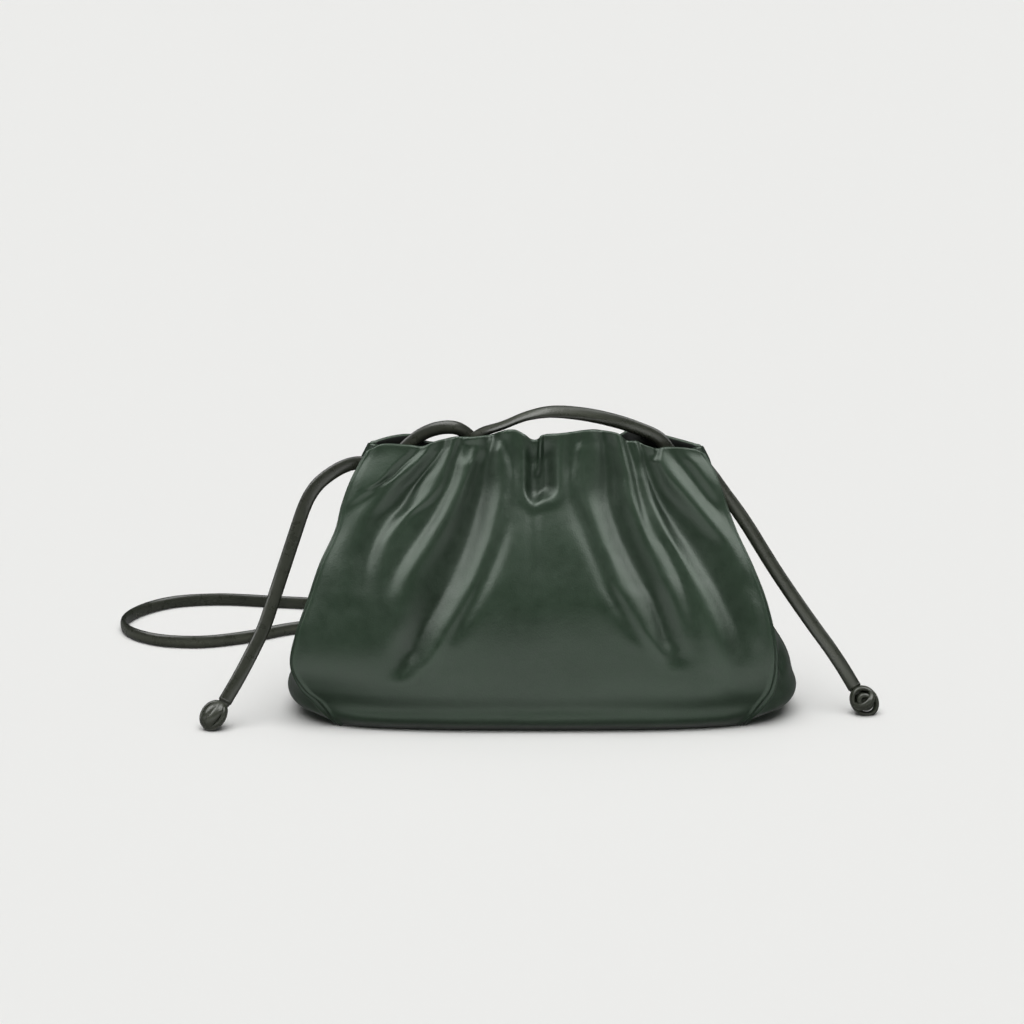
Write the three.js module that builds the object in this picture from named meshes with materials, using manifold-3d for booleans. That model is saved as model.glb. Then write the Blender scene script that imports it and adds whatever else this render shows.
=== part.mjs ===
// A small gathered pouch bag of thin smooth leather, with one long strap knotted at both ends.
// Millimetres, +Z up. The front faces -Y, and the origin is on the floor under the middle of the bag.
import * as THREE from 'three';
import { mergeVertices } from 'three/addons/utils/BufferGeometryUtils.js';
import Module from 'manifold-3d';

const wasm = await Module();
wasm.setup();

// Sizes of the leather body
const WIDTH = 221; // across the boxed lower corners
const DEPTH = 90; // front to back at the fullest height
const HEIGHT = 126; // floor to the middle of the gathered front lip
const WALL = 2; // leather and its turned lining together
const SEAM_GAP = 0.3; // between pieces that are sewn edge to edge
const FOLD_DEPTH = 5.5; // how far the strongest gather stands out or goes in
const LIP_FOLD_SHARE = 0.55; // how much of that depth is left at the lip, where the gathers are sewn
const LIP_BAND = 0.84; // height share above which the gathers are held towards the lip
const SEAM_CALM = 4; // power by which the gathers die away towards the side seams
const PANEL_FULLNESS = 3; // power of a wall's bulge between its side seams
const CORNER_FULLNESS = 2.4; // power of the boxed corner's bulge between its seams
const TUCK_SHARPNESS = 2.5; // power of the gusset's inward fold near the lip
const SEAM_SLANT = 2.8; // along the wall to straight across the seam, where the walls meet at a corner
const BASE_THICKNESS = 2.4; // stiffened bottom
const FOOT = 0.3; // lower edge of the walls above the floor that the base rests on

// Sizes of the strap and its knots
const STRAP_WIDTH = 6;
const STRAP_THICKNESS = 2.6;
const STRAP_LIFT = 0.2; // above the floor where it lies on its edge
const STRAP_SHOULDER = 0.8; // the rounding of its edges, as a share of half its thickness
const SLOT_HEIGHT = 9; // slot in each gusset that the strap leaves through
const SLOT_WIDTH = 5;
const SLOT_REACH = 12 * WALL; // length of the cut, well past both faces of a gusset
const SLOT_ROW = 1; // row of a tail's route that is in its slot
const KNOT_LOOP = 4.1; // middle radius of one turn of a knot
const KNOT_TURN_THICKNESS = 3.7; // the strap is folded and rounded in its knots
const KNOT_RING_SIDES = 6;
const KNOT_RING_STEPS = 12;
const KNOT_CORE_STEPS = 10;
const KNOT_CORE_BANDS = 6;
const KNOT_STUB = 5.5; // what stands out of a knot past its last turn
const KNOT_NECK = -0.2; // from the end of a tail to the turns of its knot

// Facets
const FRONT_COLUMNS = 58;
const WALL_ROWS = 20;
const BACK_COLUMNS = 32;
const GUSSET_COLUMNS = 8;
const ROW_EASE = 0.09; // draws the rows together at the foot and at the lip
const OUTLINE_STEPS = 10; // points along each side of the base outline
const NORMAL_STEP = 1.2; // distance over which the direction of the surface is measured
const HEIGHT_STEP = 0.008; // the same up the wall, as a share of its height
const MERGE_DISTANCE = 1e-4;

// Level sections of the body. Heights are shares of the wall's height there, widths are shares of
// half the width, and depths are shares of half the depth. Out is how far the middle of a gusset
// stands outside its seams, as a share of half the width, or inside them where it is below nothing.
const SECTIONS = [
  { height: 0, left: 0.8, right: 0.8, middle: 0.79, seam: 0.633, outLeft: 0.064, outRight: 0.064 },
  { height: 0.03, left: 0.818, right: 0.818, middle: 0.855, seam: 0.69, outLeft: 0.118, outRight: 0.127 },
  { height: 0.1, left: 0.873, right: 0.873, middle: 0.94, seam: 0.72, outLeft: 0.115, outRight: 0.12 },
  { height: 0.145, left: 0.929, right: 0.905, middle: 0.965, seam: 0.733, outLeft: 0.07, outRight: 0.093 },
  { height: 0.235, left: 0.98, right: 0.926, middle: 0.97, seam: 0.745, outLeft: 0.014, outRight: 0.055 },
  { height: 0.35, left: 0.961, right: 0.918, middle: 0.935, seam: 0.71, outLeft: 0, outRight: 0.014 },
  { height: 0.48, left: 0.912, right: 0.886, middle: 0.833, seam: 0.62, outLeft: -0.005, outRight: 0 },
  { height: 0.6, left: 0.868, right: 0.836, middle: 0.69, seam: 0.533, outLeft: -0.01, outRight: -0.01 },
  { height: 0.72, left: 0.807, right: 0.775, middle: 0.533, seam: 0.42, outLeft: -0.035, outRight: -0.035 },
  { height: 0.81, left: 0.782, right: 0.738, middle: 0.41, seam: 0.333, outLeft: -0.058, outRight: -0.058 },
  { height: 0.89, left: 0.751, right: 0.709, middle: 0.315, seam: 0.285, outLeft: -0.068, outRight: -0.068 },
  { height: 0.95, left: 0.718, right: 0.682, middle: 0.25, seam: 0.235, outLeft: -0.06, outRight: -0.06 },
  { height: 1, left: 0.684, right: 0.649, middle: 0.21, seam: 0.2, outLeft: -0.038, outRight: -0.038 },
];

// How much farther in than the front seams the back seams lie, as a share of half the width.
const BACK_INSET = [
  { height: 0, inset: 0 },
  { height: 0.03, inset: 0.004 },
  { height: 0.1, inset: 0.02 },
  { height: 0.235, inset: 0.055 },
  { height: 0.35, inset: 0.062 },
  { height: 0.48, inset: 0.062 },
  { height: 0.6, inset: 0.055 },
  { height: 0.81, inset: 0.03 },
  { height: 0.95, inset: 0.008 },
  { height: 1, inset: 0 },
];

// Height of the front lip, as a share of the height, at shares across from the left seam to the right.
const FRONT_LIP = [
  { across: -1, height: 0.932 },
  { across: -0.92, height: 0.956 },
  { across: -0.76, height: 0.953 },
  { across: -0.68, height: 0.949 },
  { across: -0.59, height: 0.97 },
  { across: -0.485, height: 0.982 },
  { across: -0.365, height: 0.982 },
  { across: -0.236, height: 0.999 },
  { across: -0.149, height: 1.006 },
  { across: -0.09, height: 0.989 },
  { across: -0.035, height: 0.971 },
  { across: 0.02, height: 0.989 },
  { across: 0.119, height: 0.993 },
  { across: 0.26, height: 1.004 },
  { across: 0.355, height: 1.007 },
  { across: 0.473, height: 0.992 },
  { across: 0.53, height: 0.969 },
  { across: 0.6, height: 0.966 },
  { across: 0.68, height: 0.943 },
  { across: 0.78, height: 0.946 },
  { across: 0.946, height: 0.938 },
  { across: 1, height: 0.921 },
];

// Height of the back lip in the same way. It is lower than the front one behind the middle.
const BACK_LIP = [
  { across: -1, height: 0.932 },
  { across: -0.86, height: 0.956 },
  { across: -0.74, height: 0.96 },
  { across: -0.66, height: 0.935 },
  { across: -0.5, height: 0.915 },
  { across: -0.3, height: 0.925 },
  { across: 0, height: 0.948 },
  { across: 0.25, height: 0.955 },
  { across: 0.45, height: 0.962 },
  { across: 0.56, height: 0.982 },
  { across: 0.68, height: 0.97 },
  { across: 0.85, height: 0.945 },
  { across: 1, height: 0.921 },
];

// Gathers that fan out from the lip. Top, bend and end are shares across at the lip, halfway down
// and at the lower end, and stop is the height of that end. Widths are shares of half the width,
// rise is a share of the fold depth, less than nothing for a hollow, and fade is the share of the
// gather's length over which its lower end dies away.
const FRONT_FOLDS = [
  { top: -0.7, bend: -0.86, end: -0.96, stop: 0.6, wideTop: 0.03, wideEnd: 0.045, rise: 0.5, fade: 0.5 },
  { top: -0.585, bend: -0.76, end: -0.88, stop: 0.58, wideTop: 0.04, wideEnd: 0.07, rise: -0.6, fade: 0.5 },
  { top: -0.49, bend: -0.66, end: -0.78, stop: 0.5, wideTop: 0.022, wideEnd: 0.05, rise: 0.5, fade: 0.45 },
  { top: -0.455, bend: -0.6, end: -0.71, stop: 0.56, wideTop: 0.02, wideEnd: 0.03, rise: -0.35, fade: 0.5 },
  { top: -0.41, bend: -0.55, end: -0.61, stop: 0.33, wideTop: 0.035, wideEnd: 0.05, rise: 0.85, fade: 0.35 },
  { top: -0.325, bend: -0.38, end: -0.56, stop: 0.27, wideTop: 0.045, wideEnd: 0.06, rise: -0.9, fade: 0.4 },
  { top: -0.235, bend: -0.27, end: -0.5, stop: 0.2, wideTop: 0.035, wideEnd: 0.045, rise: 1, fade: 0.25 },
  { top: -0.165, bend: -0.235, end: -0.37, stop: 0.32, wideTop: 0.02, wideEnd: 0.03, rise: -0.4, fade: 0.4 },
  { top: -0.085, bend: -0.12, end: -0.33, stop: 0.28, wideTop: 0.03, wideEnd: 0.045, rise: 0.45, fade: 0.4 },
  { top: 0, bend: 0, end: 0, stop: 0.77, wideTop: 0.045, wideEnd: 0.06, rise: -1, fade: 0.45 },
  { top: 0.09, bend: 0.155, end: 0.41, stop: 0.27, wideTop: 0.03, wideEnd: 0.045, rise: 0.45, fade: 0.4 },
  { top: 0.175, bend: 0.24, end: 0.36, stop: 0.45, wideTop: 0.02, wideEnd: 0.03, rise: -0.4, fade: 0.4 },
  { top: 0.245, bend: 0.3, end: 0.53, stop: 0.25, wideTop: 0.035, wideEnd: 0.045, rise: 1, fade: 0.25 },
  { top: 0.385, bend: 0.44, end: 0.585, stop: 0.36, wideTop: 0.045, wideEnd: 0.05, rise: -0.85, fade: 0.35 },
  { top: 0.47, bend: 0.53, end: 0.62, stop: 0.28, wideTop: 0.035, wideEnd: 0.045, rise: 0.9, fade: 0.28 },
  { top: 0.515, bend: 0.575, end: 0.61, stop: 0.62, wideTop: 0.02, wideEnd: 0.025, rise: -0.4, fade: 0.4 },
  { top: 0.55, bend: 0.66, end: 0.75, stop: 0.19, wideTop: 0.025, wideEnd: 0.045, rise: 0.6, fade: 0.4 },
  { top: 0.6, bend: 0.745, end: 0.85, stop: 0.32, wideTop: 0.045, wideEnd: 0.06, rise: -0.9, fade: 0.4 },
  { top: 0.68, bend: 0.84, end: 0.96, stop: 0.56, wideTop: 0.035, wideEnd: 0.04, rise: 0.75, fade: 0.4 },
  { top: 0.76, bend: 0.87, end: 0.93, stop: 0.8, wideTop: 0.03, wideEnd: 0.03, rise: -0.35, fade: 0.5 },
];

// The back is gathered more plainly, in one fan that its two halves share.
const BACK_FAN = [
  { top: 0, bend: 0, end: 0, stop: 0.55, wideTop: 0.045, wideEnd: 0.07, rise: -0.7, fade: 0.5 },
  { top: 0.11, bend: 0.14, end: 0.23, stop: 0.38, wideTop: 0.035, wideEnd: 0.06, rise: 0.7, fade: 0.45 },
  { top: 0.23, bend: 0.28, end: 0.38, stop: 0.42, wideTop: 0.04, wideEnd: 0.06, rise: -0.7, fade: 0.45 },
  { top: 0.35, bend: 0.43, end: 0.56, stop: 0.3, wideTop: 0.035, wideEnd: 0.055, rise: 0.8, fade: 0.4 },
  { top: 0.48, bend: 0.58, end: 0.7, stop: 0.45, wideTop: 0.04, wideEnd: 0.06, rise: -0.7, fade: 0.45 },
  { top: 0.6, bend: 0.73, end: 0.86, stop: 0.42, wideTop: 0.035, wideEnd: 0.055, rise: 0.65, fade: 0.45 },
];
const BACK_FOLDS = BACK_FAN.flatMap((fold) => (fold.top === 0 ? [fold] : [fold, mirrored(fold)]));

// Routes of the strap: its middle line, and the way that its width faces at each point. Across is a
// share of half the width, deep of half the depth, and up of the height, above a strap that stands
// on its edge on the floor.
const TAIL_LEFT_ROUTE = [
  { across: -0.6308, deep: 0, up: 0.8476, width: [0, 0, 1] },
  { across: -0.6715, deep: -0.0044, up: 0.8492, width: [0, 0, 1] },
  { across: -0.7095, deep: -0.0178, up: 0.8548, width: [-0.1, 0, 1] },
  { across: -0.7439, deep: -0.0311, up: 0.8524, width: [-0.2, 0, 1] },
  { across: -0.7819, deep: -0.0444, up: 0.8413, width: [-0.4, 0, 1] },
  { across: -0.829, deep: -0.0667, up: 0.8183, width: [-0.6, 0, 0.8] },
  { across: -0.8769, deep: -0.0889, up: 0.7841, width: [-0.8, 0, 0.6] },
  { across: -0.9104, deep: -0.1111, up: 0.7444, width: [-0.9, 0, 0.4] },
  { across: -0.9357, deep: -0.14, up: 0.6968, width: [-1, 0, 0.3] },
  { across: -0.9611, deep: -0.1889, up: 0.6333, width: [-1, 0, 0.25] },
  { across: -0.9919, deep: -0.2556, up: 0.554, width: [-1, 0, 0.3] },
  { across: -1.0244, deep: -0.3333, up: 0.4706, width: [-1, 0, 0.3] },
  { across: -1.0552, deep: -0.4222, up: 0.3913, width: [-1, 0, 0.3] },
  { across: -1.0878, deep: -0.5111, up: 0.3119, width: [-1, 0, 0.4] },
  { across: -1.133, deep: -0.6, up: 0.2325, width: [-1, 0, 0.5] },
  { across: -1.1891, deep: -0.6867, up: 0.1437, width: [-1, 0, 0.5] },
  { across: -1.2398, deep: -0.7378, up: 0.0698, width: [-1, 0, 0.6] },
];
const TAIL_RIGHT_ROUTE = [
  { across: 0.5692, deep: 0, up: 0.8468, width: [0, 0, 1] },
  { across: 0.5973, deep: 0, up: 0.8437, width: [0.1, 0, 1] },
  { across: 0.6281, deep: 0, up: 0.8405, width: [0.2, 0, 1] },
  { across: 0.6552, deep: 0, up: 0.831, width: [0.5, 0, 1] },
  { across: 0.6778, deep: -0.0044, up: 0.8087, width: [0.8, 0, 0.7] },
  { across: 0.7023, deep: -0.0089, up: 0.7794, width: [0.9, 0, 0.5] },
  { across: 0.7348, deep: -0.0156, up: 0.7397, width: [0.9, 0, 0.5] },
  { across: 0.7729, deep: -0.0244, up: 0.6952, width: [0.9, 0, 0.5] },
  { across: 0.8217, deep: -0.0422, up: 0.6333, width: [0.9, 0, 0.5] },
  { across: 0.8706, deep: -0.0667, up: 0.5651, width: [0.9, 0, 0.6] },
  { across: 0.9267, deep: -0.0978, up: 0.4873, width: [0.9, 0, 0.7] },
  { across: 0.9828, deep: -0.1289, up: 0.4143, width: [0.9, 0, 0.7] },
  { across: 1.0389, deep: -0.16, up: 0.3444, width: [0.9, 0, 0.7] },
  { across: 1.095, deep: -0.1911, up: 0.2762, width: [0.9, 0, 0.7] },
  { across: 1.1511, deep: -0.2178, up: 0.2095, width: [0.9, 0, 0.7] },
  { across: 1.2036, deep: -0.2378, up: 0.1413, width: [0.9, 0, 0.6] },
  { across: 1.2543, deep: -0.2489, up: 0.0675, width: [0.9, 0, 0.5] },
];
const LOOP_ROUTE = [
  { across: -0.6253, deep: 0, up: 0.8476, width: [0, 0, 1] },
  { across: -0.6027, deep: 0.0022, up: 0.8492, width: [-0.2, 0, 1] },
  { across: -0.5647, deep: 0.0178, up: 0.8746, width: [-0.4, 0, 1] },
  { across: -0.5204, deep: 0.0578, up: 0.9143, width: [-0.5, 0, 1] },
  { across: -0.4615, deep: 0.12, up: 0.9476, width: [-0.3, 0, 1] },
  { across: -0.3982, deep: 0.1867, up: 0.9619, width: [0, 0.2, 1] },
  { across: -0.3348, deep: 0.2711, up: 0.9556, width: [0.2, 0.5, 1] },
  { across: -0.2805, deep: 0.3778, up: 0.9175, width: [0.6, 0.6, 0.8] },
  { across: -0.2308, deep: 0.48, up: 0.8444, width: [1, 0.2, 0.4] },
  { across: -0.1855, deep: 0.6311, up: 0.7365, width: [1, 0, 0.3] },
  { across: -0.1448, deep: 0.8222, up: 0.5937, width: [1, 0, 0.2] },
  { across: -0.1086, deep: 0.9889, up: 0.4349, width: [1, 0.1, 0.2] },
  { across: -0.0796, deep: 1.1222, up: 0.2762, width: [1, 0.2, 0.2] },
  { across: -0.0633, deep: 1.2889, up: 0.1294, width: [1, 0.4, 0.4] },
  { across: -0.0679, deep: 1.5667, up: 0.0381, width: [0.9, 0.4, 0.8] },
  { across: -0.1086, deep: 1.9556, up: 0.0063, width: [0.4, 0, 1] },
  { across: -0.2081, deep: 2.4222, up: 0.0008, width: [0, 0, 1] },
  { across: -0.3801, deep: 2.8889, up: 0, width: [0, 0, 1] },
  { across: -0.6154, deep: 3.2444, up: 0, width: [0, 0, 1] },
  { across: -0.8778, deep: 3.4444, up: 0, width: [0, 0, 1] },
  { across: -1.1584, deep: 3.5778, up: 0, width: [0, 0, 1] },
  { across: -1.4118, deep: 3.6778, up: 0, width: [0, 0, 1] },
  { across: -1.6109, deep: 3.5667, up: 0, width: [0, 0, 1] },
  { across: -1.7421, deep: 3.2222, up: 0, width: [0, 0, 1] },
  { across: -1.7964, deep: 2.7556, up: 0, width: [0, 0, 1] },
  { across: -1.7421, deep: 2.3556, up: 0, width: [0, 0, 1] },
  { across: -1.6109, deep: 2.0778, up: 0, width: [0, 0, 1] },
  { across: -1.4344, deep: 2.0111, up: 0, width: [0, 0, 1] },
  { across: -1.2489, deep: 2.1889, up: 0, width: [0, 0, 1] },
  { across: -1.0679, deep: 2.5111, up: 0, width: [0, 0, 1] },
  { across: -0.8597, deep: 2.7, up: 0, width: [0, 0, 1] },
  { across: -0.6516, deep: 2.5778, up: 0.0008, width: [0, 0, 1] },
  { across: -0.4887, deep: 2.2, up: 0.0063, width: [-0.4, 0, 1] },
  { across: -0.3937, deep: 1.7667, up: 0.0421, width: [-0.9, 0.4, 0.8] },
  { across: -0.3439, deep: 1.3778, up: 0.1294, width: [-1, 0.4, 0.4] },
  { across: -0.3348, deep: 1.1333, up: 0.2603, width: [-1, 0.2, 0.2] },
  { across: -0.3484, deep: 0.9778, up: 0.427, width: [-1, 0.1, 0.2] },
  { across: -0.362, deep: 0.7889, up: 0.5937, width: [-1, 0, 0.2] },
  { across: -0.362, deep: 0.5667, up: 0.7444, width: [-1, 0, 0.2] },
  { across: -0.308, deep: 0.3956, up: 0.8611, width: [-0.9, 0.3, 0.3] },
  { across: -0.231, deep: 0.2622, up: 0.9381, width: [-0.5, 0.9, 0.2] },
  { across: -0.149, deep: 0.1689, up: 0.9722, width: [-0.1, 1, 0.3] },
  { across: -0.054, deep: 0.1111, up: 1.0103, width: [0, 1, 0.5] },
  { across: 0.0362, deep: 0.08, up: 1.0278, width: [0, 0.8, 0.8] },
  { across: 0.1448, deep: 0.0667, up: 1.0238, width: [0, 0.5, 1] },
  { across: 0.2624, deep: 0.0533, up: 1.0056, width: [0.2, 0.2, 1] },
  { across: 0.3756, deep: 0.0267, up: 0.977, width: [0.3, 0, 1] },
  { across: 0.4661, deep: 0.0089, up: 0.9413, width: [0.3, 0, 1] },
  { across: 0.5104, deep: 0.0022, up: 0.8952, width: [0.4, 0, 1] },
  { across: 0.5357, deep: 0, up: 0.8571, width: [0.3, 0, 1] },
  { across: 0.5602, deep: 0, up: 0.8484, width: [0, 0, 1] },
];

// The turns of a knot, each a ring round the knot's middle, leaning in its own way, in degrees.
const KNOT_TURNS = [
  { leanX: 90, leanY: 20, size: 1.0, lift: 0.0 },
  { leanX: 25, leanY: 0, size: 1.0, lift: 0.15 },
  { leanX: 60, leanY: 75, size: 0.95, lift: -0.1 },
];

function mirrored(fold) {
  return { ...fold, top: -fold.top, bend: -fold.bend, end: -fold.end };
}

function mix(from, to, share) {
  return from + (to - from) * share;
}

function smoothStep(from, to, value) {
  const share = Math.min(1, Math.max(0, (value - from) / (to - from)));
  return share * share * (3 - 2 * share);
}

// Reads one column of a table along another, on a smooth line through its rows.
function along(rows, key, column, value) {
  const last = rows.length - 1;
  let row = 0;
  while (row < last - 1 && value > rows[row + 1][key]) row += 1;
  const slope = (a, b) => (rows[b][column] - rows[a][column]) / (rows[b][key] - rows[a][key]);
  const slopeAt = (index) => slope(Math.max(0, index - 1), Math.min(last, index + 1));
  const span = rows[row + 1][key] - rows[row][key];
  const share = Math.min(1, Math.max(0, (value - rows[row][key]) / span));
  const square = share * share;
  const cube = square * share;
  return (
    (2 * cube - 3 * square + 1) * rows[row][column] +
    (cube - 2 * square + share) * span * slopeAt(row) +
    (3 * square - 2 * cube) * rows[row + 1][column] +
    (cube - square) * span * slopeAt(row + 1)
  );
}

function section(column, height) {
  return along(SECTIONS, 'height', column, height);
}

function backInset(height) {
  return (WIDTH / 2) * along(BACK_INSET, 'height', 'inset', height);
}

// Where the middle of a gather lies at a height: a parabola through its top, bend and end.
function foldPlace(fold, height) {
  const share = (height - fold.stop) / (1 - fold.stop);
  const bow = fold.bend - (fold.top + fold.end) / 2;
  return mix(fold.end, fold.top, share) + 4 * bow * share * (1 - share);
}

// How far all gathers together move the wall outwards.
function foldRelief(folds, across, height) {
  let relief = 0;
  for (const fold of folds) {
    const share = (height - fold.stop) / (1 - fold.stop);
    if (share <= 0) continue;
    const wide = mix(fold.wideEnd, fold.wideTop, share) / section('left', height);
    const offset = (across - foldPlace(fold, height)) / wide;
    relief += fold.rise * smoothStep(0, fold.fade, share) * Math.exp(-offset * offset);
  }
  const sewn = mix(1, LIP_FOLD_SHARE, smoothStep(LIP_BAND, 1, height));
  return FOLD_DEPTH * sewn * relief * (1 - Math.abs(across) ** SEAM_CALM);
}

function wallHeight(lip, across, height) {
  const top = HEIGHT * along(lip, 'across', 'height', across);
  return mix(FOOT, top, height);
}

// A front or back wall: side is -1 for the front and 1 for the back, across runs from -1 to 1.
function panelPoint(side, across, height) {
  const frontHalf = (WIDTH / 2) * section(across < 0 ? 'left' : 'right', height);
  const halfWidth = side < 0 ? frontHalf : frontHalf - backInset(height);
  const seam = section('seam', height);
  const swell = (section('middle', height) - seam) * (1 - Math.abs(across) ** PANEL_FULLNESS);
  const folds = side < 0 ? FRONT_FOLDS : BACK_FOLDS;
  const lip = side < 0 ? FRONT_LIP : BACK_LIP;
  const depth = (DEPTH / 2) * (seam + swell) + foldRelief(folds, across, height);
  return new THREE.Vector3(across * halfWidth, side * depth, wallHeight(lip, across, height));
}

// A gusset: hand is -1 for the left and 1 for the right, across runs from the front seam to the back.
function gussetPoint(hand, across, height) {
  const seamAt = (WIDTH / 2) * section(hand < 0 ? 'left' : 'right', height);
  const swell = (WIDTH / 2) * section(hand < 0 ? 'outLeft' : 'outRight', height);
  const depth = (DEPTH / 2) * section('seam', height);
  const frontHeight = wallHeight(FRONT_LIP, hand, height);
  const backHeight = wallHeight(BACK_LIP, hand, height);
  const z = mix(frontHeight, backHeight, (across + 1) / 2);
  const bulge = 1 - Math.abs(across) ** CORNER_FULLNESS;
  const tuck = (1 - across ** 2) ** TUCK_SHARPNESS;
  const inset = (backInset(height) * (across + 1)) / 2;
  const x = hand * (seamAt - inset + swell * (swell > 0 ? bulge : tuck));
  return new THREE.Vector3(x, depth * across, z);
}

// The whole wall round the bag: turn 0 to 1 is the front from left to right, 1 to 2 the right
// gusset, 2 to 3 the back from right to left, and 3 to 4 the left gusset.
function wallPoint(turn, height) {
  const wrapped = (turn + 4) % 4;
  const part = Math.floor(wrapped);
  const across = 2 * (wrapped - part) - 1;
  if (part === 0) return panelPoint(-1, across, height);
  if (part === 1) return gussetPoint(1, across, height);
  if (part === 2) return panelPoint(1, -across, height);
  return gussetPoint(-1, -across, height);
}

// Length of one part of the wall at a height, seam to seam.
function partLength(part, height) {
  if (part % 2 === 1) return DEPTH * section('seam', height);
  return (WIDTH / 2) * (section('left', height) + section('right', height));
}

// Moves along the wall by a distance, across a seam where it must.
function turned(turn, distance, height) {
  const seam = distance > 0 ? Math.floor(turn) + 1 : Math.ceil(turn) - 1;
  const here = (distance > 0 ? seam + 3 : seam + 4) % 4;
  const moved = turn + distance / partLength(here, height);
  if (distance > 0 ? moved <= seam : moved >= seam) return moved;
  const rest = Math.abs(moved - seam) * partLength(here, height);
  const next = (distance > 0 ? seam : seam + 3) % 4;
  return seam + (Math.sign(distance) * rest) / partLength(next, height);
}

function wallNormal(turn, height) {
  const before = wallPoint(turned(turn, -NORMAL_STEP, height), height);
  const after = wallPoint(turned(turn, NORMAL_STEP, height), height);
  const below = wallPoint(turn, Math.max(0, height - HEIGHT_STEP));
  const above = wallPoint(turn, Math.min(1, height + HEIGHT_STEP));
  return after.sub(before).cross(above.sub(below)).normalize();
}

// A grid of points on the outside of one part of the wall and the same grid on its inside, closed
// round the edges into one shell.
function wallGeometry(part, columns, rows) {
  const positions = [];
  const faces = [];
  const perSide = (columns + 1) * (rows + 1);
  for (const inset of [0, WALL]) {
    for (let row = 0; row <= rows; row += 1) {
      const share = row / rows;
      const height = share - ROW_EASE * Math.sin(2 * Math.PI * share);
      const edge = (SEAM_GAP * SEAM_SLANT) / 2 / partLength(part, height);
      for (let column = 0; column <= columns; column += 1) {
        const turn = part + mix(edge, 1 - edge, column / columns);
        const onSeam = column === 0 || column === columns;
        const normal = wallNormal(onSeam ? part + column / columns : turn, height);
        const point = wallPoint(turn, height).addScaledVector(normal, -inset);
        positions.push(point.x, point.y, point.z);
      }
    }
  }
  const outer = (row, column) => row * (columns + 1) + column;
  const inner = (row, column) => perSide + outer(row, column);
  const quad = (a, b, c, d) => faces.push(a, b, c, a, c, d);
  const quadTheOtherWay = (a, b, c, d) => quad(b, c, d, a);
  for (let row = 0; row < rows; row += 1) {
    for (let column = 0; column < columns; column += 1) {
      // The gathers fan out, so each half's facets are split along its own gathers.
      const facet = column < columns / 2 ? quad : quadTheOtherWay;
      facet(outer(row, column), outer(row, column + 1), outer(row + 1, column + 1), outer(row + 1, column));
      facet(inner(row, column), inner(row + 1, column), inner(row + 1, column + 1), inner(row, column + 1));
    }
    quad(outer(row, 0), outer(row + 1, 0), inner(row + 1, 0), inner(row, 0));
    quad(outer(row, columns), inner(row, columns), inner(row + 1, columns), outer(row + 1, columns));
  }
  for (let column = 0; column < columns; column += 1) {
    quad(outer(0, column), inner(0, column), inner(0, column + 1), outer(0, column + 1));
    quad(outer(rows, column), outer(rows, column + 1), inner(rows, column + 1), inner(rows, column));
  }
  return closedGeometry(positions, faces);
}

function closedGeometry(positions, faces) {
  const geometry = new THREE.BufferGeometry();
  geometry.setAttribute('position', new THREE.Float32BufferAttribute(positions, 3));
  geometry.setIndex(faces);
  return geometry;
}

// Solids for cutting and joining
function solidOf(geometry) {
  const bare = geometry.clone();
  bare.deleteAttribute('normal');
  bare.deleteAttribute('uv');
  const merged = mergeVertices(bare, MERGE_DISTANCE);
  const vertProperties = new Float32Array(merged.getAttribute('position').array);
  const triVerts = new Uint32Array(merged.getIndex().array);
  return new wasm.Manifold(new wasm.Mesh({ numProp: 3, vertProperties, triVerts }));
}

function geometryOf(solid) {
  const mesh = solid.getMesh();
  return closedGeometry(Array.from(mesh.vertProperties), Array.from(mesh.triVerts));
}

// The slot in a gusset, round the point of the tail's route that passes through it.
function slottedGusset(part, route) {
  const passing = routePoint(route[SLOT_ROW]);
  const slot = new THREE.BoxGeometry(SLOT_REACH, SLOT_WIDTH, SLOT_HEIGHT);
  slot.translate(passing.x, passing.y, passing.z);
  return geometryOf(solidOf(wallGeometry(part, GUSSET_COLUMNS, WALL_ROWS)).subtract(solidOf(slot)));
}

// The base plate fits inside the foot of the walls.
function baseGeometry() {
  const outline = new THREE.Shape();
  for (let step = 0; step < 4 * OUTLINE_STEPS; step += 1) {
    const turn = step / OUTLINE_STEPS;
    const normal = wallNormal(turn, 0).setZ(0).normalize();
    const point = wallPoint(turn, 0).addScaledVector(normal, -WALL - SEAM_GAP);
    if (step === 0) outline.moveTo(point.x, point.y);
    else outline.lineTo(point.x, point.y);
  }
  outline.closePath();
  return new THREE.ExtrudeGeometry(outline, { depth: BASE_THICKNESS, bevelEnabled: false });
}

function routePoint(row) {
  const up = STRAP_WIDTH / 2 + STRAP_LIFT + row.up * HEIGHT;
  return new THREE.Vector3((row.across * WIDTH) / 2, (row.deep * DEPTH) / 2, up);
}

// A curve through a route that also carries the way the strap's width faces.
class StrapPath extends THREE.CatmullRomCurve3 {
  constructor(route) {
    super(route.map(routePoint), false, 'centripetal');
    this.widths = route.map((row) => new THREE.Vector3(...row.width).normalize());
  }

  getSpacedPoints(divisions) {
    return this.getPoints(divisions);
  }

  computeFrenetFrames(divisions) {
    const frames = { tangents: [], normals: [], binormals: [] };
    for (let step = 0; step <= divisions; step += 1) {
      const share = step / divisions;
      const tangent = this.getTangent(share);
      const place = share * (this.widths.length - 1);
      const row = Math.min(this.widths.length - 2, Math.floor(place));
      const width = this.widths[row].clone().lerp(this.widths[row + 1], place - row);
      width.addScaledVector(tangent, -width.dot(tangent)).normalize();
      frames.tangents.push(tangent);
      frames.normals.push(width);
      frames.binormals.push(tangent.clone().cross(width));
    }
    return frames;
  }
}

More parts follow.
